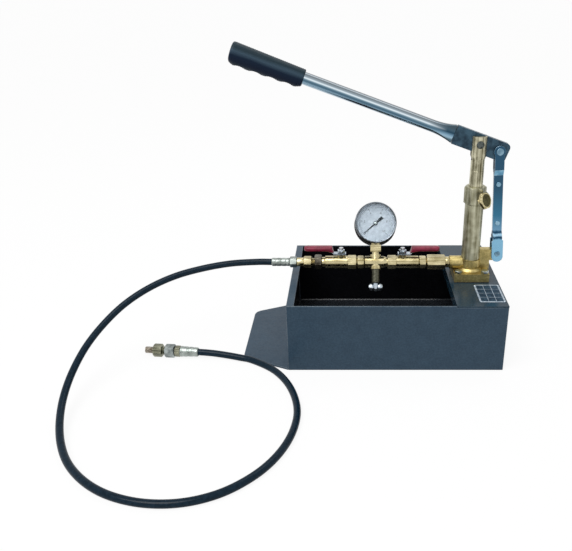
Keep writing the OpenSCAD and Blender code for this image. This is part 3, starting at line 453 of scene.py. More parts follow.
def plated_tube():
    """Bright plate with painted reflection bands across the tube's height, a painted highlight above its
    middle and painted dark bands below it, and other painted bands where its end is pressed.
    """
    s = Shader("chrome_tube", Metallic=1.0)
    stretch = 40
    drawn = s.along(PIVOT, LEVER_A, stretch)
    r = TUBE_D / 2 * MM
    across = s.mixed(s.height(-r, r, drawn), s.noise(420, 3, drawn), 0.06)
    # Painted reflection: pale and dark bands by height across the tube, with a painted highlight at 0.63
    bright = s.tones(across, [
        (0.04, (0.44, 0.53, 0.60)), (0.25, (0.24, 0.37, 0.47)), (0.42, (0.050, 0.11, 0.165)),
        (0.53, (0.15, 0.25, 0.32)), (0.63, (0.80, 0.90, 0.96)), (0.72, (0.30, 0.37, 0.42)),
        (0.84, (0.17, 0.20, 0.22)), (1.0, (0.24, 0.26, 0.28)),
    ])
    # The pressed end's own painted light and dark bands by height
    pressed_painted_bands = s.tones(across, [
        (0.03, (0.08, 0.13, 0.16)), (0.20, (0.32, 0.48, 0.60)), (0.37, (0.17, 0.30, 0.41)),
        (0.54, (0.02, 0.06, 0.10)), (0.75, (0.06, 0.11, 0.15)), (1.0, (0.06, 0.09, 0.11)),
    ])
    scale = MM / stretch
    pressed = s.mapped(s.part("X", drawn), -PRESSED_BANDS_FROM * scale, -PRESSED_BANDS_TO * scale, 0, 1)
    s.base(s.blend(bright, pressed_painted_bands, pressed))
    s.rough(s.noise(700, 4, drawn), 0.10, 0.2)
    s.bump(s.noise(2400, 3, drawn), 0.08, 0.0001)
    return s.material


def link_steel():
    """Blue plate, paler towards the straps' foot and darker towards their top, with painted shade lines
    either side of a painted highlight band at the lower joggle.
    """
    s = Shader("link_blue", Metallic=1.0)
    bright, pale, faded = (0.36, 0.60, 0.78), (0.22, 0.45, 0.62), (0.15, 0.30, 0.44)
    blue, deep, line = (0.045, 0.165, 0.27), (0.032, 0.089, 0.15), (0.014, 0.06, 0.12)
    drawn = s.noise(160, 4, s.stretched(*ALONG_Z))
    up = s.mixed(s.height(LINK_LOW_Z * MM, LINK_HIGH_Z * MM), drawn, 0.04)
    # Painted shade lines at 0.168 to 0.180 and 0.228 to 0.240, with a painted highlight band between them
    s.ramp(up, [
        (0.145, pale), (0.168, line), (0.180, line), (0.200, bright), (0.210, bright),
        (0.228, line), (0.240, line), (0.262, faded), (0.45, blue), (0.80, deep),
    ])
    s.rough(s.noise(500, 4), 0.16, 0.3)
    s.bump(s.noise(1800, 3), 0.06, 0.0001)
    return s.material


def dark_steel():
    s = Shader("dark_steel", Metallic=0.5)
    s.colour(s.noise(120, 4), (0.005, 0.024, 0.044), (0.034, 0.082, 0.122))
    s.rough(s.noise(400), 0.28, 0.45)
    s.bump(s.noise(1600), 0.15, 0.0002)
    return s.material


def grip_rubber():
    """Black rubber with a painted sheen line along its side, paler above it and darker below as painted
    shade.
    """
    s = Shader("grip_rubber", Specular_IOR_Level=0.12)
    drawn = s.along(PIVOT, LEVER_A, 8)
    across = s.mixed(s.height(PAINTED_SHEEN_LOW * MM, PAINTED_SHEEN_HIGH * MM, drawn), s.noise(200, 3, drawn), 0.1)
    # Painted light by height across the grip: painted shade low down, a painted sheen line at 0.64
    s.ramp(across, [
        (0.08, (0.010, 0.024, 0.036)), (0.28, (0.001, 0.006, 0.021)), (0.50, (0.002, 0.010, 0.026)),
        (0.64, (0.032, 0.058, 0.084)), (0.76, (0.011, 0.025, 0.035)), (1.0, (0.016, 0.030, 0.040)),
    ])
    s.rough(s.noise(600), 0.3, 0.45)
    s.bump(s.cells(900), 0.5, 0.0003)
    return s.material


def red_sleeve():
    s = Shader("red_sleeve", Specular_IOR_Level=0.3, Coat_Weight=0.12, Coat_Roughness=0.12)
    s.colour(s.noise(140), (0.13, 0.004, 0.020), (0.22, 0.010, 0.040))
    s.rough(s.noise(300), 0.25, 0.4)
    s.bump(s.noise(700), 0.1, 0.0002)
    return s.material


def rubber(name, low, high, rough, level=0.5):
    s = Shader(name, Specular_IOR_Level=level)
    s.colour(s.noise(300), low, high)
    s.rough(s.noise(500), *rough)
    s.bump(s.noise(1500), 0.12, 0.0002)
    return s.material


def lens():
    s = Shader("lens", Roughness=0.03, Transmission_Weight=1.0, IOR=1.15)
    s.bsdf.inputs["Base Color"].default_value = (0.95, 0.98, 1.0, 1)
    s.bump(s.noise(60, 1), 0.02, 0.0001)
    return s.material


def ink(name, low, high, level=0.5):
    s = Shader(name, Specular_IOR_Level=level)
    s.colour(s.noise(200), low, high)
    s.rough(s.noise(500), 0.4, 0.6)
    s.bump(s.noise(1500), 0.06, 0.0001)
    return s.material


MATERIALS = {
    "tank_paint": paint("tank_paint", (0.012, 0.034, 0.060), (0.023, 0.053, 0.086), (0.30, 0.44), 0.3),
    "cast_brass": brass("cast_brass", (0.34, 0.27, 0.10), (0.58, 0.47, 0.20), (0.28, 0.42), metal=0.9),
    "brass": brass("brass", (0.30, 0.25, 0.12), (0.70, 0.62, 0.38), (0.18, 0.32), ALONG_X),
    "zinc_steel": steel("zinc_steel", (0.30, 0.36, 0.41), (0.60, 0.66, 0.72), (0.14, 0.28)),
    "bright_steel": steel("bright_steel", (0.5, 0.52, 0.55), (0.65, 0.66, 0.68), (0.1, 0.2)),
    "chrome_tube": plated_tube(),
    "dark_steel": dark_steel(),
    "grey_steel": steel("grey_steel", (0.030, 0.025, 0.018), (0.15, 0.135, 0.105), (0.2, 0.36)),
    "grip_rubber": grip_rubber(),
    "red_sleeve": red_sleeve(),
    "seat_plastic": rubber("seat_plastic", (0.75, 0.75, 0.72), (0.82, 0.82, 0.8), (0.4, 0.5)),
    "gasket_rubber": rubber("gasket_rubber", (0.012, 0.012, 0.012), (0.03, 0.03, 0.03), (0.6, 0.8)),
    "hose_rubber": rubber("hose_rubber", (0.001, 0.009, 0.018), (0.005, 0.017, 0.031), (0.16, 0.26), 0.12),
    "gauge_black": rubber("gauge_black", (0.002, 0.003, 0.004), (0.006, 0.007, 0.009), (0.16, 0.28), 0.3),
    "lens": lens(),
    "dial_white": ink("dial_white", (0.46, 0.51, 0.56), (0.57, 0.62, 0.67)),
    "spring_bronze": brass("spring_bronze", (0.34, 0.2, 0.09), (0.45, 0.28, 0.13), (0.25, 0.4)),
    "pointer_black": ink("pointer_black", (0.004, 0.010, 0.014), (0.010, 0.018, 0.024)),
}
# Paler paint and steel for bevelled edges: edge wear and a painted edge highlight
EDGE_WEAR_AND_HIGHLIGHT_PAINT = paint("edge_wear_and_highlight_paint", (0.020, 0.045, 0.070), (0.10, 0.13, 0.16), (0.25, 0.4), 0.4)
EDGE_WEAR_AND_HIGHLIGHT_STEEL = steel("edge_wear_and_highlight_steel", (0.04, 0.07, 0.10), (0.20, 0.25, 0.30), (0.25, 0.4))
DECK_PAINT = paint("deck_paint", (0.008, 0.025, 0.042), (0.016, 0.041, 0.064), (0.12, 0.22), 0.2)
# Near-black paint inside the tank and under the deck is painted shade; the tank's bottom is painted shade a
# little less dark
INSIDE_SHADE_PAINT = paint("inside_shade_paint", (0.002, 0.002, 0.003), (0.005, 0.005, 0.007), (0.25, 0.4), 0.15)
BOTTOM_SHADE_PAINT = paint("bottom_shade_paint", (0.008, 0.010, 0.013), (0.024, 0.028, 0.035), (0.2, 0.35), 0.3)
BEAD_PAINT = paint("bead_paint", (0.016, 0.018, 0.021), (0.06, 0.066, 0.075), (0.12, 0.22), 0.8)
SATIN_BRASS = brass("satin_brass", (0.15, 0.14, 0.075), (0.54, 0.53, 0.39), (0.32, 0.46), ALONG_Z, 260, 0.8)
DULL_BRASS = brass("dull_brass", (0.045, 0.045, 0.032), (0.12, 0.118, 0.088), (0.25, 0.4))
PLUNGER_BRASS = brass("plunger_brass", (0.10, 0.09, 0.045), (0.66, 0.63, 0.46), (0.24, 0.38), ALONG_Z,
                      300, 0.9)
# Darker brass for the vent plug's end face, painted shade
PLUG_FACE_SHADE_BRASS = brass("plug_face_shade_brass", (0.030, 0.028, 0.010), (0.09, 0.082, 0.034), (0.28, 0.42))
OLIVE_BRASS = brass("olive_brass", (0.075, 0.078, 0.052), (0.32, 0.32, 0.235), (0.2, 0.34), ALONG_X)
TIP_BRASS = brass("tip_brass", (0.19, 0.165, 0.13), (0.46, 0.42, 0.36), (0.2, 0.35))
WORN_ZINC = steel("worn_zinc", (0.11, 0.13, 0.13), (0.40, 0.44, 0.43), (0.16, 0.3))
FERRULE_STEEL = steel("ferrule_steel", (0.19, 0.215, 0.20), (0.40, 0.44, 0.415), (0.3, 0.42))
BEZEL_STEEL = steel("bezel_steel", (0.004, 0.006, 0.008), (0.22, 0.25, 0.28), (0.12, 0.25), 34)
LINK_BLUE = link_steel()
# Paler steel on the straps' upper joggle, a painted highlight
LINK_BEND_HIGHLIGHT = steel("link_bend_highlight", (0.10, 0.26, 0.40), (0.24, 0.46, 0.60), (0.16, 0.3))
# Paler steel on the straps' bevelled edges: edge wear and a painted edge highlight
LINK_EDGE_WEAR_AND_HIGHLIGHT = steel("link_edge_wear_and_highlight", (0.30, 0.44, 0.54), (0.56, 0.70, 0.79), (0.16, 0.3))
PIN_BLUE = steel("pin_blue", (0.09, 0.18, 0.25), (0.26, 0.41, 0.51), (0.16, 0.3))
PIN_GREY = steel("pin_grey", (0.030, 0.036, 0.033), (0.11, 0.125, 0.118), (0.25, 0.4), 300)
RIVET_BLUE = steel("rivet_blue", (0.14, 0.28, 0.38), (0.34, 0.53, 0.66), (0.16, 0.3))
PLATE_GREY = ink("plate_grey", (0.20, 0.26, 0.32), (0.46, 0.52, 0.58), 0.3)
PLATE_NAVY = ink("plate_navy", (0.004, 0.018, 0.036), (0.018, 0.050, 0.082), 0.15)
DIAL_GREY = ink("dial_grey", (0.10, 0.12, 0.14), (0.16, 0.18, 0.20))


# Mesh building, in millimetres

EDGE_ANGLE = 28


def finish_piece(name, bm, nodes, material=None, smooth=25, body=None, slot=None, also=()):
    """Makes an object of bm that rides on its nodes' body and stands for them.

    also lists further materials, each with a test of a face's centre and normal for the faces that take it.
    """
    body = body or NODE_BODY[nodes[0]]
    slot = slot or NODE_SLOT[nodes[0]]
    bm.normal_update()
    for number, (_, takes) in enumerate(also, 1):
        for face in bm.faces:
            if takes(face.calc_center_median(), face.normal):
                face.material_index = number
    bmesh.ops.scale(bm, vec=(MM, MM, MM), verts=bm.verts)
    mesh = bpy.data.meshes.new(name)
    bm.to_mesh(mesh)
    bm.free()
    mesh.shade_smooth()
    mesh.set_sharp_from_angle(angle=math.radians(smooth))
    mesh.materials.append(material or MATERIALS[slot])
    for extra, _ in also:
        mesh.materials.append(extra)
    piece = placed(name, mesh)
    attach(piece, body)
    if nodes:
        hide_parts(*nodes)
    return piece


def bevelled(piece, width, segments=2, edge_wear_and_highlight=None):
    """Rounds a piece's edges, where a paler material may show as edge wear and a painted edge highlight, and
    keeps its flat faces flat.
    """
    edge = piece.modifiers.new("edges", "BEVEL")
    if edge_wear_and_highlight:
        edge.material = len(piece.data.materials)
        piece.data.materials.append(edge_wear_and_highlight)
    edge.width = width * MM
    edge.segments = segments
    edge.limit_method = "ANGLE"
    edge.angle_limit = math.radians(EDGE_ANGLE)
    edge.use_clamp_overlap = True
    normals = piece.modifiers.new("normals", "WEIGHTED_NORMAL")
    normals.keep_sharp = True
    normals.weight = 80
    return piece


def node_mesh(node):
    """A CAD node's mesh in millimetres, with its flat faces joined up."""
    bm = bmesh.new()
    bm.from_mesh(frame["nodes"][node].data)
    bmesh.ops.remove_doubles(bm, verts=bm.verts, dist=1e-6)
    bmesh.ops.dissolve_limit(bm, angle_limit=math.radians(0.6), verts=bm.verts, edges=bm.edges)
    bmesh.ops.scale(bm, vec=(1 / MM, 1 / MM, 1 / MM), verts=bm.verts)
    return bm


def dressed(node, width=0.4, segments=2, material=None, also=(), edge_wear_and_highlight=None):
    """Stands for a CAD node with the same shape, its edges rounded."""
    piece = finish_piece(node + "_dressed", node_mesh(node), [node], material, EDGE_ANGLE, also=also)
    return bevelled(piece, width, segments, edge_wear_and_highlight)


def skin(bm, rings, closed):
    """Faces between rings of equal length; the last ring also joins the first if closed."""
    count = len(rings[0])
    pairs = list(zip(rings, rings[1:]))
    if closed:
        pairs.append((rings[-1], rings[0]))
    for a, b in pairs:
        for i in range(count):
            j = (i + 1) % count
            bm.faces.new((a[i], a[j], b[j], b[i]))


def solid_skin(bm, rings):
    """A closed solid: faces between the rings and over both ends."""
    skin(bm, rings, False)
    bm.faces.new(rings[0])
    bm.faces.new(reversed(rings[-1]))
    bmesh.ops.recalc_face_normals(bm, faces=bm.faces)


def circle(sides):
    return [2 * math.pi * i / sides for i in range(sides)]


def around(bm, matrix, profile, sides=64):
    """A solid of revolution about matrix's Z: profile holds (radius or radius function, z).

    A profile that leaves the axis free makes a ring, closed through its bore.
    """
    rings = []
    for radius, z in profile:
        ring = []
        for a in circle(sides):
            r = radius(a) if callable(radius) else radius
            ring.append(bm.verts.new(matrix @ Vector((r * math.cos(a), r * math.sin(a), z))))
        rings.append(ring)
    skin(bm, rings, profile[0][0] != 0)
    bmesh.ops.remove_doubles(bm, verts=bm.verts, dist=1e-4)
    bmesh.ops.recalc_face_normals(bm, faces=bm.faces)


def round_part(bm, matrix, d, l, bore=0, edge=0.4):
    r = d / 2
    around(bm, matrix, [(bore / 2, 0), (r - edge, 0), (r - edge * 0.3, edge * 0.3), (r, edge), (r, l - edge),
                        (r - edge * 0.3, l - edge * 0.3), (r - edge, l), (bore / 2, l)])


def hex_limit(af, limit, spin):
    """The radius of a hexagon cut by a cone's circle, flats towards the spin angle."""
    sixth = math.pi / 3

    def radius(a):
        off = (a - math.radians(spin) + sixth / 2) % sixth - sixth / 2
        return min(af / 2 / math.cos(off), limit)
    return radius


def hex_part(bm, matrix, af, l, bore=0, spin=0, face=0.96, dish=0):
    """A hexagon with the usual thirty-degree chamfers at both ends, and a dished far face."""
    corner = af / 2 / math.cos(math.pi / 6)
    start = af / 2 * face
    depth = (corner - start) * math.tan(math.radians(30))
    limits = [(start + (corner - start) * t, depth * t) for t in (0, 0.3, 0.6, 1)]
    profile = [(bore / 2, 0)]
    profile += [(hex_limit(af, r, spin), z) for r, z in limits]
    profile += [(hex_limit(af, r, spin), l - z) for r, z in reversed(limits)]
    if dish:
        profile += [(start * 0.86, l), (start * 0.80, l - dish)]
    profile.append((bore / 2, l - dish))
    around(bm, matrix, profile, 96)


def hex_piece(node, matrix, af, l, bore, material=None, **shape):
    """Stands for a node that is one nut or cap."""
    bm = bmesh.new()
    hex_part(bm, matrix, af, l, bore, **shape)
    return finish_piece(node + "_hex", bm, [node], material)


def thread_part(bm, matrix, d, l, bore=0, pitch=1.3, depth=0.6):
    """A screw thread: the radius falls and rises along a helix."""
    steps = max(2, int(l / pitch * 6))
    profile = [(bore / 2, 0)]
    for k in range(steps + 1):
        z = l * k / steps

        def radius(a, z=z):
            phase = (z / pitch - a / (2 * math.pi)) % 1
            return d / 2 - depth * (1 - abs(2 * phase - 1))
        profile.append((radius, z))
    profile.append((bore / 2, l))
    around(bm, matrix, profile, 32)


def crimp_part(bm, matrix, d0, d1):
    """A ferrule pressed on the hose, from d0 at its mouth to d1, with rounded grooves round it."""
    l = FERRULE_L
    bore = HOSE_D + FIT
    cut = 0.25
    steps = 48
    profile = [(bore / 2, 0)]
    for k in range(steps + 1):
        t = k / steps
        wave = math.cos(2 * math.pi * (t * (FERRULE_GROOVES + 0.5) + 0.1))
        r = (d0 + (d1 - d0) * t) / 2 - cut * max(0, wave)
        end = min(t, 1 - t) * l
        profile.append((r - max(0, 0.8 - end) * 0.6, l * t))
    profile.append((bore / 2, l))
    around(bm, matrix, profile, 48)


def box_part(bm, matrix, size):
    bmesh.ops.create_cube(bm, size=1, matrix=matrix @ Matrix.Diagonal((*size, 1)))


def squared(value, power):
    """The share of a rounded box's half width at a circle's share, squarer as power grows."""
    return math.copysign(abs(value) ** (2 / power), value)


# Hose, repeated from the part's route

HOSE_AIR = [
    (-200, -10, 122), (-238, -14, 121), (-276, -22, 117), (-313, -35, 111), (-347, -53, 101),
    (-377, -76, 87), (-400, -103, 70), (-416, -135, 53), (-424, -171, 36), (-424, -208, 22),
    (-416, -246, 12), (-401, -283, 7),
]
HOSE_FLOOR = [
    (-380, -316), (-351, -345), (-318, -365), (-279, -376), (-239, -375), (-202, -361),
    (-171, -335), (-149, -303), (-135, -265), (-130, -224), (-135, -186), (-149, -148),
    (-171, -116), (-202, -92), (-222, -84),
]
HOSE_END = [(-242, -79, 6), (-262, -77, 8)]
HOSE_FLOOR_Z = 5
HOSE_STEPS = 8


def smooth_line(points, steps):
    """The cubic through the points, each stretch set by its four nearest."""
    p = [Vector(q) for q in points]
    last = len(p) - 1
    line = []
    for i in range(last):
        a, b, c, d = p[max(i - 1, 0)], p[i], p[i + 1], p[min(i + 2, last)]
        for k in range(steps):
            t = k / steps
            line.append(0.5 * (2 * b + (c - a) * t + (2 * a - 5 * b + 4 * c - d) * t * t
                               + (3 * b - a - 3 * c + d) * t ** 3))
    line.append(p[last])
    return line


def make_hose(fittings):
    far = Vector(FAR_AT)
    out = Vector((math.cos(math.radians(FAR_TURN)), math.sin(math.radians(FAR_TURN)), 0))
    route = [(FERRULE_X + HOSE_GRIP, PUMP_Y, AXIS_Z), (FERRULE_X, PUMP_Y, AXIS_Z)]
    route += HOSE_AIR
    route += [(x, y, HOSE_FLOOR_Z) for x, y in HOSE_FLOOR]
    route += HOSE_END
    route += [far, far + out * HOSE_GRIP]
    line = [q * MM for q in smooth_line(route, HOSE_STEPS)]
    curve = bpy.data.curves.new("hose_line", "CURVE")
    curve.dimensions = "3D"
    curve.bevel_depth = HOSE_D / 2 * MM
    curve.bevel_resolution = 8
    curve.use_fill_caps = True
    spline = curve.splines.new("POLY")
    spline.points.add(len(line) - 1)
    for point, q in zip(spline.points, line):
        point.co = (*q, 1)
    spline.use_smooth = True
    curve.materials.append(MATERIALS["hose_rubber"])
    hose = placed("hose_line", curve)
    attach(hose, NODE_BODY["hose"])
    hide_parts("hose")


def far_place(at):
    """How far along the free end's fitting a point lies."""
    return (on_far(0).inverted() @ at).z


def make_far_fitting():
    """Ferrule, nut and adapter at the hose's free end."""
    bm = bmesh.new()
    crimp_part(bm, on_far(0), FAR_MOUTH_D, FAR_FERRULE_D)
    hex_part(bm, on_far(FERRULE_L), FAR_RING_AF, FAR_RING_L, HOSE_FLOW_D)
    round_part(bm, on_far(FERRULE_L), FAR_STEM_D, FAR_STEM_L, HOSE_FLOW_D)
    ring = (OLIVE_BRASS, lambda at, normal: far_place(at) > FERRULE_L)
    ferrule = finish_piece("far_ferrule_crimped", bm, ["far_ferrule"], FERRULE_STEEL, also=[ring])
    nut = hex_piece("far_nut", on_far(FAR_NUT_AT), FAR_NUT_AF, FAR_NUT_L, FAR_THREAD_D + FIT, WORN_ZINC)
    bm = bmesh.new()
    thread_part(bm, on_far(FAR_THREAD_AT), FAR_THREAD_D, FAR_THREAD_L, HOSE_FLOW_D)
    hex_part(bm, on_far(FAR_HEX_AT), FAR_HEX_AF, FAR_HEX_L, HOSE_FLOW_D)
    thread_part(bm, on_far(FAR_TIP_AT), FAR_TIP_D, FAR_TIP_L, HOSE_FLOW_D, pitch=0.95, depth=0.45)
    tip = (TIP_BRASS, lambda at, normal: far_place(at) > FAR_TIP_AT)
    adapter = finish_piece("far_adapter_threaded", bm, ["far_adapter"], OLIVE_BRASS, also=[tip])
    return [ferrule, nut, adapter]


# Tank

def inside_tank(at, normal):
    return (abs(at.x) < TANK_L / 2 - SHEET + NEAR and abs(at.y) < TANK_D / 2 - SHEET + NEAR
            and SHEET - NEAR < at.z < TANK_H - NEAR)


def tank_bottom(at, normal):
    return normal.z > 0.9 and abs(at.z - SHEET) < NEAR


def under_deck(at, normal):
    return normal.z < -0.5 or normal.x > 0.5 and at.x < TANK_L / 2 - SHEET


def make_tank():
    # The tank's inner walls, its bottom and the deck's underside take painted shade
    inside = [(INSIDE_SHADE_PAINT, inside_tank), (BOTTOM_SHADE_PAINT, tank_bottom)]
    dressed("tank_shell", 0.8, 3, also=inside, edge_wear_and_highlight=EDGE_WEAR_AND_HIGHLIGHT_PAINT)
    dressed("deck_plate", 0.8, 3, DECK_PAINT, [(INSIDE_SHADE_PAINT, under_deck)], EDGE_WEAR_AND_HIGHLIGHT_PAINT)
    dressed("foot_plate", 0.6, edge_wear_and_highlight=EDGE_WEAR_AND_HIGHLIGHT_PAINT)
    make_welds()


def bead(bm, start, end, d):
    """A weld bead along a line, rippled as it was laid."""
    start = Vector(start)
    end = Vector(end)
    l = (end - start).length
    matrix = Matrix.Translation(start) @ (end - start).to_track_quat("Z", "Y").to_matrix().to_4x4()
    steps = int(l / WELD_RIPPLE * 4)
    profile = [(0, 0)]
    for k in range(steps + 1):
        z = l * k / steps
        taper = min(1, min(z, l - z) / d + 0.2)
        ripple = 0.86 + 0.14 * abs(math.sin(math.pi * z / WELD_RIPPLE))
        profile.append((d / 2 * taper * ripple, z))
    profile.append((0, l))
    around(bm, matrix, profile, 10)


def make_welds():
    left = -TANK_L / 2 - 0.4
    top = FOOT_T + 0.2
    front = -TANK_D / 2 + 6
    rear = TANK_D / 2 - 20
    bm = bmesh.new()
    bead(bm, (left, front, top), (left, rear, top), FOOT_WELD_D)
    finish_piece("foot_weld", bm, [], None, 60, "root", "tank_paint")
    x = TANK_L / 2 - SHEET
    y = TANK_D / 2 - SHEET
    bm = bmesh.new()
    for start, end in (((-x, y), (x, y)), ((-x, -y), (x, -y)), ((-x, -y), (-x, y))):
        bead(bm, (*start, SHEET), (*end, SHEET), SEAM_WELD_D)
    finish_piece("inside_welds", bm, [], BEAD_PAINT, 60, "root", "tank_paint")


def make_data_plate():
    """A bare plate with columns of dark panels, held by four rivets on the deck."""
    wide = PLATE_X1 - PLATE_X0
    deep = PLATE_Y1 - PLATE_Y0
    top = TANK_H + PLATE_T
    bm = bmesh.new()
    middle = move(PLATE_X0 + wide / 2, PLATE_Y0 + deep / 2, TANK_H + PLATE_T / 2)
    box_part(bm, middle, (wide, deep, PLATE_T))
    upright = [e for e in bm.edges if abs(e.verts[0].co.z - e.verts[1].co.z) > NEAR]
    bmesh.ops.bevel(bm, geom=upright, offset=PLATE_CORNER, segments=5, affect="EDGES", profile=0.5)
    bevelled(finish_piece("data_plate", bm, [], PLATE_GREY, 30, "root", "zinc_steel"), 0.15)
    bm = bmesh.new()
    panel_w = (wide - 2 * PLATE_BORDER) / PANEL_COLUMNS
    panel_d = (deep - 2 * PLATE_BORDER) / PANEL_ROWS
    for i in range(PANEL_COLUMNS):
        for j in range(PANEL_ROWS):
            x = PLATE_X0 + PLATE_BORDER + (i + 0.5) * panel_w
            y = PLATE_Y0 + PLATE_BORDER + (j + 0.5) * panel_d
            size = (panel_w - PLATE_LINE, panel_d - PLATE_LINE, PANEL_T)
            box_part(bm, move(x, y, top + PANEL_T / 2), size)
    finish_piece("data_plate_panels", bm, [], PLATE_NAVY, 30, "root", "tank_paint")
    bm = bmesh.new()
    dome = [(0, 0), (1.3, 0), (1.2, 0.3), (0.8, 0.6), (0, 0.75)]
    for x in (PLATE_X0 + PLATE_RIVET_IN, PLATE_X1 - PLATE_RIVET_IN):
        for y in (PLATE_Y0 + PLATE_RIVET_IN, PLATE_Y1 - PLATE_RIVET_IN):
            around(bm, move(x, y, top), dome, 20)
    finish_piece("data_plate_rivets", bm, [], None, 40, "root", "zinc_steel")


# Pump

def make_bolts():
    bm = bmesh.new()
    for sx in (-1, 1):
        for sy in (-1, 1):
            x, y = PUMP_X + sx * BOLT_AT, PUMP_Y + sy * BOLT_AT
            spin = 17 * sx + 40 * sy
            under = TANK_H - SHEET
            hex_part(bm, move(x, y, FLANGE_Z), BOLT_AF, BOLT_HEAD_H, spin=spin, face=0.9)
            thread_part(bm, move(x, y, under - BOLT_TAIL), BOLT_D, BOLT_L, pitch=1, depth=0.5)
            hex_part(bm, move(x, y, under - BOLT_NUT_H), BOLT_AF, BOLT_NUT_H, BOLT_D, spin, face=0.92)
    finish_piece("base_bolts_threaded", bm, ["base_bolts"], WORN_ZINC)


# The plug's dished end face, which takes a darker brass as painted shade
def plug_face(at, normal):
    local = on_plug(PLUG_HEAD_X).inverted() @ at
    inside = local.x ** 2 + local.y ** 2 < (PLUG_AF * 0.41) ** 2
    return inside and local.z > PLUG_H - PLUG_DISH - NEAR


def make_vent_plug():
    bm = bmesh.new()
    thread_part(bm, on_plug(PLUG_SHANK_X), PLUG_SHANK_D, PLUG_HEAD_X - PLUG_SHANK_X + 1)
    hex_part(bm, on_plug(PLUG_HEAD_X), PLUG_AF, PLUG_H, face=0.94, dish=PLUG_DISH)
    finish_piece("vent_plug_hex", bm, ["vent_plug"], also=[(PLUG_FACE_SHADE_BRASS, plug_face)])


def make_clevis():
    """The plunger's clevis, turned down to a neck between its fork and the rod."""
    bm = node_mesh("plunger_clevis")
    for z in (NECK_Z, NECK_Z - NECK_TAPER):
        everything = [*bm.verts, *bm.edges, *bm.faces]
        bmesh.ops.bisect_plane(bm, geom=everything, plane_co=(0, 0, z), plane_no=(0, 0, 1))
    for v in bm.verts:
        off = Vector((v.co.x - PUMP_X, v.co.y - PUMP_Y))
        if v.co.z > NECK_Z - NECK_TAPER + NEAR or off.length < CLEVIS_D / 2 - 1:
            continue
        fork_side = v.co.z > FORK_Z - NEAR and abs(off.y) > FORK_W / 2 - NEAR / 2
        off *= NECK_D / CLEVIS_D
        if fork_side and abs(off.y) < FORK_W / 2:
            off.y = math.copysign(FORK_W / 2, off.y)
            off.x = math.copysign(math.sqrt((NECK_D / 2) ** 2 - off.y ** 2), off.x)
        v.co.x, v.co.y = PUMP_X + off.x, PUMP_Y + off.y
    bmesh.ops.remove_doubles(bm, verts=bm.verts, dist=1e-3)
    piece = finish_piece("plunger_clevis_turned", bm, ["plunger_clevis"], PLUNGER_BRASS, EDGE_ANGLE)
    bevelled(piece, 0.6, 3)


def make_pump():
    dressed("pump_base", 1.0, 3)
    dressed("base_gasket", 0.2)
    dressed("pump_cylinder", 0.5, 2, SATIN_BRASS)
    dressed("plunger_rod", 0.4, 2, PLUNGER_BRASS)
    make_clevis()
    dressed("plunger_pin", 0.3, 2, PIN_GREY)
    dressed("suction_tube", 0.3)
    dressed("suction_strainer", 0.3)
    make_bolts()
    hex_piece("gland_nut", on_pump(CYL_Z), GLAND_AF, GLAND_H, PLUNGER_D, SATIN_BRASS, spin=30, face=0.97)
    make_vent_plug()


# Lever and link

BOX_POWER = 6
ROUND_POWER = 2


def tube_ring(bm, s, half_t, half_h, power):
    """One ring of the lever's tube: a rounded form between an ellipse and a box."""
    ring = []
    for a in circle(48):
        y = half_t * squared(math.cos(a), power)
        z = half_h * squared(math.sin(a), power)
        ring.append(bm.verts.new(LEVER @ Vector((-s, y, z))))
    return ring


def make_tube():
    """The lever's tube, from the dished mouth of its pressed end to the round end in the grip."""
    r = TUBE_D / 2
    bm = bmesh.new()
    rings = [tube_ring(bm, TUBE_FROM + 3, CRIMP_T / 2 - 1.4, CRIMP_H / 2 - 2, BOX_POWER)]
    rings.append(tube_ring(bm, TUBE_FROM, CRIMP_T / 2 - 1.2, CRIMP_H / 2 - 1.2, BOX_POWER))
    steps = 16
    for k in range(steps + 1):
        t = k / steps
        ease = 1 - (1 - t) ** 2.5
        half_t = CRIMP_T / 2 + (r - CRIMP_T / 2) * ease
        half_h = CRIMP_H / 2 + (r - CRIMP_H / 2) * ease
        power = BOX_POWER + (ROUND_POWER - BOX_POWER) * ease
        rings.append(tube_ring(bm, TUBE_FROM + 0.5 + CRIMP_L * t, half_t, half_h, power))
    rings.append(tube_ring(bm, TUBE_TO, r, r, ROUND_POWER))
    solid_skin(bm, rings)
    finish_piece("lever_tube_pressed", bm, ["lever_tube"], None, 40)


GRIP_SIDES = 56


def grip_radius(s):
    return (GRIP_D1 + (GRIP_D2 - GRIP_D1) * s / GRIP_L) / 2


def grip_drop(s):
    """How far the ridges between the fingers hang below the round, fading out at both ends."""
    return RIDGE_DROP * min(1, s / GRIP_LEAD, (GRIP_L - s) / GRIP_LEAD)


def grip_low(s):
    """How far the grip's underside lies below its axis, with a hollow for each finger."""
    pitch = (GRIP_L - GRIP_LEAD - GRIP_MARGIN) / FINGERS
    depth = grip_radius(s) + grip_drop(s)
    for i in range(FINGERS):
        at = GRIP_LEAD + (i + 0.5) * pitch
        off = abs(s - at)
        if off < FINGER_R:
            bed = grip_radius(at) + grip_drop(at) - FINGER_CUT
            depth = min(depth, bed + FINGER_R - math.sqrt(FINGER_R ** 2 - off ** 2))
    return depth


def grip_ring(bm, s, inset):
    """One ring of the grip, flattened over the finger hollows."""
    r = grip_radius(s) - inset
    full = r + grip_drop(s)
    low = grip_low(s) - inset
    ring = []
    for a in circle(GRIP_SIDES):
        y, z = r * math.cos(a), r * math.sin(a)
        if z < 0:
            z *= full / r
        if z < -low:
            z = -low - FINGER_CROWN * (-z - low)
        ring.append(bm.verts.new(LEVER @ Vector((-GRIP_FROM - s, y, z))))
    return ring


def bore_ring(bm, s):
    r = (TUBE_D + FIT) / 2
    ring = []
    for a in circle(GRIP_SIDES):
        ring.append(bm.verts.new(LEVER @ Vector((-GRIP_FROM - s, r * math.cos(a), r * math.sin(a)))))
    return ring


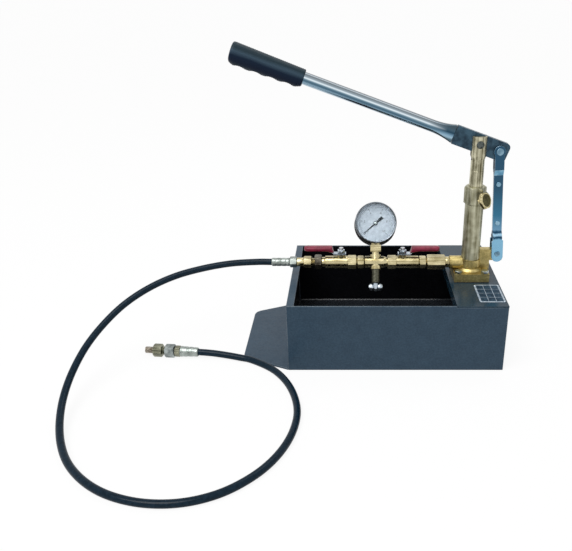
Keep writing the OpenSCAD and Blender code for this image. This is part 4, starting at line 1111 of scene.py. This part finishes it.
def make_grip():
    """The rubber grip: its bore, its rounded mouth, the fine ribs and the rounded end."""
    lead, tail = 1.4, 2
    bm = bmesh.new()
    rings = [bore_ring(bm, GRIP_L - GRIP_END), bore_ring(bm, 0)]
    for s, inset in ((0, 1.4), (0.4, 0.5), (lead, 0)):
        rings.append(grip_ring(bm, s, inset))
    for k in range(1, RIBS):
        rings.append(grip_ring(bm, lead + (GRIP_L - lead - tail) * k / RIBS, RIB_CUT * (k % 2)))
    for s, inset in ((GRIP_L - tail, 0.4), (GRIP_L - 0.9, 1.2), (GRIP_L - 0.2, 2.4), (GRIP_L, 4)):
        rings.append(grip_ring(bm, s, inset))
    solid_skin(bm, rings)
    finish_piece("lever_grip_ribbed", bm, ["lever_grip"], None, 50)


def bend_highlight_faces(at, normal):
    """The straps' upper joggle, where a paler steel paints the highlight on its sloped faces."""
    return abs(normal.y) > 0.3 and abs(normal.z) > 0.15 and at.z > LINK_MID_Z


def make_lever():
    dressed("lever_bar", 0.8, 3, edge_wear_and_highlight=EDGE_WEAR_AND_HIGHLIGHT_STEEL)
    make_tube()
    make_grip()
    for strap in ("link_strap_front", "link_strap_rear"):
        dressed(strap, 0.8, 2, LINK_BLUE, [(LINK_BEND_HIGHLIGHT, bend_highlight_faces)], LINK_EDGE_WEAR_AND_HIGHLIGHT)
    dressed("link_rivets", 0.5, 3, RIVET_BLUE)
    dressed("link_pins", 0.5, 3, PIN_BLUE)


# Manifold

def make_check_body():
    bm = bmesh.new()
    neck = CHECK_X + CHECK_L
    hex_part(bm, on_manifold(CHECK_X), CHECK_AF, CHECK_L, FLOW_D)
    round_part(bm, on_manifold(neck), CHECK_NECK_D, CHECK_NECK_L, FLOW_D, 0.6)
    thread_part(bm, on_manifold(neck + CHECK_NECK_L), THREAD_D, CHECK_THREAD_L, FLOW_D)
    finish_piece("check_body_hex", bm, ["check_body"])


def make_nipple(node, x):
    bm = bmesh.new()
    hex_part(bm, on_manifold(x), NIPPLE_AF, NIPPLE_L, FLOW_D)
    for start in (x - NIPPLE_L, x + NIPPLE_L):
        thread_part(bm, on_manifold(start), THREAD_D, NIPPLE_L, FLOW_D)
    finish_piece(node + "_hex", bm, [node])


# Rings of a sleeve from its mouth outwards: place, inset and how far the underside hangs
SLEEVE_RINGS = [
    (SLEEVE_FROM, 1.2, 3), (SLEEVE_FROM, 0.4, 3), (SLEEVE_FROM + 0.5, 0, 2.9),
    (16, 0, 2.2), (19, 0, 1.2), (22, 0, 0.4), (25, 0, 0), (36, 0, 0), (47.5, 0, 0),
    (49.5, 0.05, 0), (51.3, 0.2, 0), (52.5, 0.5, 0), (53.2, 0.9, 0),
]


def sleeve_ring(bm, matrix, x, inset, drop):
    """One ring of a dipped sleeve; drop lets its underside hang and lean towards the stem."""
    tip = SLEEVE_TO - SLEEVE_W / 2
    half_w = math.sqrt((SLEEVE_W / 2) ** 2 - max(0, x - tip) ** 2) - inset
    half_h = SLEEVE_H / 2 - inset
    ring = []
    for a in circle(40):
        low = max(0, -math.sin(a))
        y = half_w * squared(math.cos(a), 3)
        z = half_h * squared(math.sin(a), 3) - drop * low
        ring.append(bm.verts.new(matrix @ Vector((x - SLEEVE_LEAN * drop * low, y, z))))
    return ring


def make_sleeve(side, stem, direction):
    matrix = move(stem, PUMP_Y, SLEEVE_Z) @ turn(0 if direction > 0 else 180, "Z")
    bm = bmesh.new()
    solid_skin(bm, [sleeve_ring(bm, matrix, *row) for row in SLEEVE_RINGS])
    finish_piece(side + "_valve_sleeve_dipped", bm, [side + "_valve_sleeve"], None, 45)


def make_valve(side, x, direction):
    """A ball valve's cap, body, handle, sleeve and stem nut; x is its capped end."""
    start = x if direction > 0 else x - CAP_L
    stem = x + direction * BALL_AT
    hex_piece(side + "_valve_cap", on_manifold(start), CAP_AF, CAP_L, THREAD_D + FIT)
    dressed(side + "_valve_body", 0.6, 3)
    dressed(side + "_valve_ball", 0.3)
    dressed(side + "_valve_handle", 0.35)
    make_sleeve(side, stem, direction)
    seat = move(stem, PUMP_Y, STEM_NUT_Z)
    hex_piece(side + "_valve_nut", seat, STEM_NUT_AF, STEM_NUT_H, STEM_D, spin=12, face=0.92)


def make_outlet():
    """Outlet adapter, lock nut and the hose's fitting at the pump's end."""
    bm = bmesh.new()
    round_part(bm, on_manifold(COLLAR_X), COLLAR_D, COLLAR_L, HOSE_FLOW_D)
    thread_part(bm, on_manifold(LOCK_THREAD_X), LOCK_THREAD_D, LOCK_THREAD_L, HOSE_FLOW_D)
    thread_part(bm, on_manifold(OUTLET_X), THREAD_D, OUTLET_THREAD_L, HOSE_FLOW_D)
    hex_part(bm, on_manifold(OUTLET_HEX_X), OUTLET_AF, OUTLET_HEX_L, HOSE_FLOW_D)
    round_part(bm, on_manifold(OUTLET_BODY_X), OUTLET_BODY_D, OUTLET_BODY_L, HOSE_FLOW_D, 0.8)
    thread_part(bm, on_manifold(OUTLET_BODY_X - OUTLET_TIP_L), OUTLET_TIP_D, OUTLET_TIP_L, HOSE_FLOW_D)
    finish_piece("outlet_adapter_threaded", bm, ["outlet_adapter"])
    seat = on_manifold(COLLAR_X - LOCK_NUT_L)
    hex_piece("outlet_lock_nut", seat, LOCK_NUT_AF, LOCK_NUT_L, LOCK_THREAD_D + FIT)
    seat = on_manifold(HOSE_NUT_X)
    hex_piece("hose_nut", seat, HOSE_NUT_AF, HOSE_NUT_L, HOSE_STEM_D + FIT, FERRULE_STEEL)
    bm = bmesh.new()
    crimp_part(bm, on_manifold(FERRULE_X), FERRULE_D, FERRULE_D)
    round_part(bm, on_manifold(FERRULE_X + FERRULE_L), HOSE_STEM_D, HOSE_STEM_L, HOSE_FLOW_D)
    finish_piece("hose_ferrule_crimped", bm, ["hose_ferrule"], FERRULE_STEEL)


def make_wing():
    """The bleed screw's wing: two full lobes on a hub that the needle enters from above."""
    foot = LEAN @ move(TEE_X, PUMP_Y, WING_TOP - WING_H)
    r = WING_HUB_D / 2
    bore = NEEDLE_BORE / 2
    bm = bmesh.new()
    hub = [(0, 0), (r * 0.5, 0.5), (r * 0.85, 1.7), (r, 3.6), (r, WING_H - 0.6), (r - 0.6, WING_H)]
    hub += [(bore, WING_H), (bore, WING_H / 2), (0, WING_H / 2)]
    around(bm, foot, hub, 40)
    for side in (-1, 1):
        lobe = foot @ move(side * LOBE_AT, 0, WING_H / 2) @ Matrix.Diagonal((*LOBE_SIZE, 1))
        bmesh.ops.create_uvsphere(bm, u_segments=32, v_segments=20, radius=1, matrix=lobe)
    finish_piece("bleed_wing_lobes", bm, ["bleed_wing"], None, 40)


def make_manifold():
    make_check_body()
    make_nipple("pump_nipple", PUMP_NIPPLE_X)
    make_nipple("left_nipple", LEFT_NIPPLE_X)
    make_valve("right", RIGHT_VALVE_X, 1)
    make_valve("left", LEFT_VALVE_X, -1)
    dressed("tee", 0.5, 3)
    make_outlet()
    dressed("bleed_body", 0.5, 3, DULL_BRASS)
    dressed("bleed_needle", 0.2)
    make_wing()


# Gauge

DIAL_START = 225
DIAL_SWEEP = 270
DIAL_STEPS = 50
DIAL_NUMBERS = 5
DIAL_R = 24
MARK_LIFT = 0.06
TICK_T = 0.06
NUMBER_R = 16.3
NUMBER_SIZE = 4.6
NUMBER_T = 0.03


def dial_angle(share):
    """The direction of a share of the scale, seen from the front, in degrees from the right."""
    return DIAL_START - DIAL_SWEEP * share


def make_dial_marks():
    bm = bmesh.new()
    for k in range(DIAL_STEPS + 1):
        major = k % (DIAL_STEPS // DIAL_NUMBERS) == 0
        length = 4.5 if major else 3 if k % 5 == 0 else 1.8
        width = 0.6 if major else 0.32
        spot = on_gauge(DIAL_Y - MARK_LIFT) @ turn(-dial_angle(k / DIAL_STEPS), "Z")
        box_part(bm, spot @ move(DIAL_R - length / 2, 0, 0), (length, width, TICK_T))
    finish_piece("dial_ticks", bm, [], DIAL_GREY, 30, "root", "pointer_black")
    for k in range(DIAL_NUMBERS + 1):
        make_number(str(2 * k), k / DIAL_NUMBERS)


def make_number(text, share):
    curve = bpy.data.curves.new("dial_number_" + text, "FONT")
    curve.body = text
    curve.size = NUMBER_SIZE * MM
    curve.extrude = NUMBER_T * MM
    curve.align_x = "CENTER"
    curve.align_y = "CENTER"
    holder = placed("dial_number_source_" + text, curve)
    mesh = bpy.data.meshes.new_from_object(holder.evaluated_get(bpy.context.evaluated_depsgraph_get()))
    bpy.data.objects.remove(holder)
    a = math.radians(dial_angle(share))
    at = on_gauge(DIAL_Y - MARK_LIFT) @ Vector((NUMBER_R * math.cos(a), -NUMBER_R * math.sin(a), 0))
    face = LEAN.to_3x3().to_4x4() @ turn(90, "X")
    mesh.transform(Matrix.Translation(at * MM) @ face)
    mesh.materials.clear()
    mesh.materials.append(DIAL_GREY)
    number = placed("dial_number_" + text, mesh)
    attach(number, "root")


def make_bezel():
    r = BEZEL_D / 2
    inner = r - 2.2
    seat = (CASE_D + FIT) / 2
    profile = [(inner, 0.8), (inner + 0.4, 0.2), (r - 1.1, 0), (r - 0.4, 0.4), (r, 1.4), (r, 6.4)]
    profile += [(r - 0.4, 7), (seat, 7), (seat, 2), (inner, 2)]
    bm = bmesh.new()
    around(bm, on_gauge(BEZEL_AT), profile, 96)
    finish_piece("gauge_bezel_rolled", bm, ["gauge_bezel"], BEZEL_STEEL, 40)


def make_case_rim():
    """The rolled rim that closes the case at the back."""
    seat = CASE_D / 2 - 0.2
    profile = [(seat, 0), (seat + 1.6, 0.4), (seat + 2.6, 1.6), (seat + 2.6, 3), (seat + 1.8, 4), (seat, 4.2)]
    bm = bmesh.new()
    around(bm, on_gauge(RIM_AT), profile, 96)
    finish_piece("gauge_case_rim", bm, [], None, 40, "root", "gauge_black")


def make_pointer_cap():
    bm = bmesh.new()
    cap = [(0, 0), (1.5, 0), (2.1, 0.3), (2.4, 0.7), (2.4, 1), (0, 1)]
    around(bm, on_gauge(DIAL_Y - POINTER_LIFT - POINTER_CAP_RISE), cap, 32)
    finish_piece("gauge_pointer_cap", bm, [], WORN_ZINC, 40, "pointer", "bright_steel")


def case_lining(at, normal):
    """The case's front edge and inner wall, which carry a pale liner behind the lens."""
    inverse = on_gauge(CASE_FRONT).inverted()
    local = inverse @ at
    facing = inverse.to_3x3() @ normal
    inward = facing.x * local.x + facing.y * local.y < 0 and abs(facing.z) < 0.5
    return local.z < NEAR or inward


def make_gauge():
    dressed("gauge_socket", 0.6, 3)
    dressed("gauge_case", 0.5, also=[(MATERIALS["dial_white"], case_lining)])
    dressed("gauge_pointer", 0.12)
    make_pointer_cap()
    make_bezel()
    make_case_rim()
    make_dial_marks()


# Nodes that stay as they are: pieces inside others, and the flat dial and its lens

KEPT = ["suction_ball", "packing_rings", "discharge_ball", "valve_seats", "gauge_lens", "gauge_dial",
        "gauge_movement", "bourdon_tube"]


def keep_nodes():
    for name in KEPT:
        for holder in frame["nodes"][name].material_slots:
            holder.material = MATERIALS[NODE_SLOT[name]]


# Stage

FLOOR_HALF = 16
FLOOR_COLOUR = (0.9, 0.9, 0.9, 1)
FLOOR_WHITE = 0.9
WORLD_LIGHT = 0.5


def backdrop_share(tree):
    """One for rays from the camera, in mirrors and through glass, nought for the light itself."""
    path = tree.nodes.new("ShaderNodeLightPath")
    total = path.outputs["Is Camera Ray"]
    for other in ("Is Glossy Ray", "Is Transmission Ray"):
        node = tree.nodes.new("ShaderNodeMath")
        node.operation = "MAXIMUM"
        tree.links.new(total, node.inputs[0])
        tree.links.new(path.outputs[other], node.inputs[1])
        total = node.outputs[0]
    return total


def make_floor():
    mesh = bpy.data.meshes.new("floor")
    h = FLOOR_HALF
    mesh.from_pydata([(-h, -h, 0), (h, -h, 0), (h, h, 0), (-h, h, 0)], [], [(0, 1, 2, 3)])
    floor = placed("floor", mesh)
    material = bpy.data.materials.new("floor")
    material.use_nodes = True
    tree = material.node_tree
    tree.nodes.clear()
    lit = tree.nodes.new("ShaderNodeBsdfDiffuse")
    lit.inputs["Color"].default_value = FLOOR_COLOUR
    white = tree.nodes.new("ShaderNodeEmission")
    mix = tree.nodes.new("ShaderNodeMixShader")
    share = tree.nodes.new("ShaderNodeMath")
    share.operation = "MULTIPLY"
    share.inputs[1].default_value = FLOOR_WHITE
    out = tree.nodes.new("ShaderNodeOutputMaterial")
    tree.links.new(backdrop_share(tree), share.inputs[0])
    tree.links.new(share.outputs[0], mix.inputs["Fac"])
    tree.links.new(lit.outputs[0], mix.inputs[1])
    tree.links.new(white.outputs[0], mix.inputs[2])
    tree.links.new(mix.outputs[0], out.inputs["Surface"])
    mesh.materials.append(material)


def make_world():
    world = bpy.data.worlds.new("studio")
    scene.world = world
    world.use_nodes = True
    tree = world.node_tree
    background = tree.nodes["Background"]
    background.inputs["Color"].default_value = (1, 1, 1, 1)
    level = tree.nodes.new("ShaderNodeMapRange")
    level.inputs["To Min"].default_value = WORLD_LIGHT
    level.inputs["To Max"].default_value = 1
    tree.links.new(backdrop_share(tree), level.inputs["Value"])
    tree.links.new(level.outputs["Result"], background.inputs["Strength"])


def aimed(data, at, target):
    lamp = placed(data.name, data)
    lamp.location = at
    lamp.rotation_euler = (Vector(target) - Vector(at)).to_track_quat("-Z", "Y").to_euler()


def soft_light(name, at, target, size, power):
    data = bpy.data.lights.new(name, "AREA")
    data.shape = "RECTANGLE"
    data.size, data.size_y = size
    data.energy = power
    aimed(data, at, target)


def sky_light(name, at, target, power, spread):
    data = bpy.data.lights.new(name, "SUN")
    data.energy = power
    data.angle = math.radians(spread)
    aimed(data, at, target)


def make_stage():
    make_floor()
    make_world()
    sky_light("sky", at=(-0.35, -0.45, 1.2), target=(0, 0, 0), power=1.3, spread=40)
    soft_light("key", at=(-0.7, -0.9, 1.3), target=(0, 0, 0.12), size=(0.9, 0.9), power=7)
    soft_light("top", at=(0.3, 0.5, 1.5), target=(0, 0, 0.1), size=(1.2, 0.5), power=3)


make_camera()
make_hose(make_far_fitting())
make_tank()
make_data_plate()
make_pump()
make_lever()
make_manifold()
make_gauge()
keep_nodes()
make_stage()
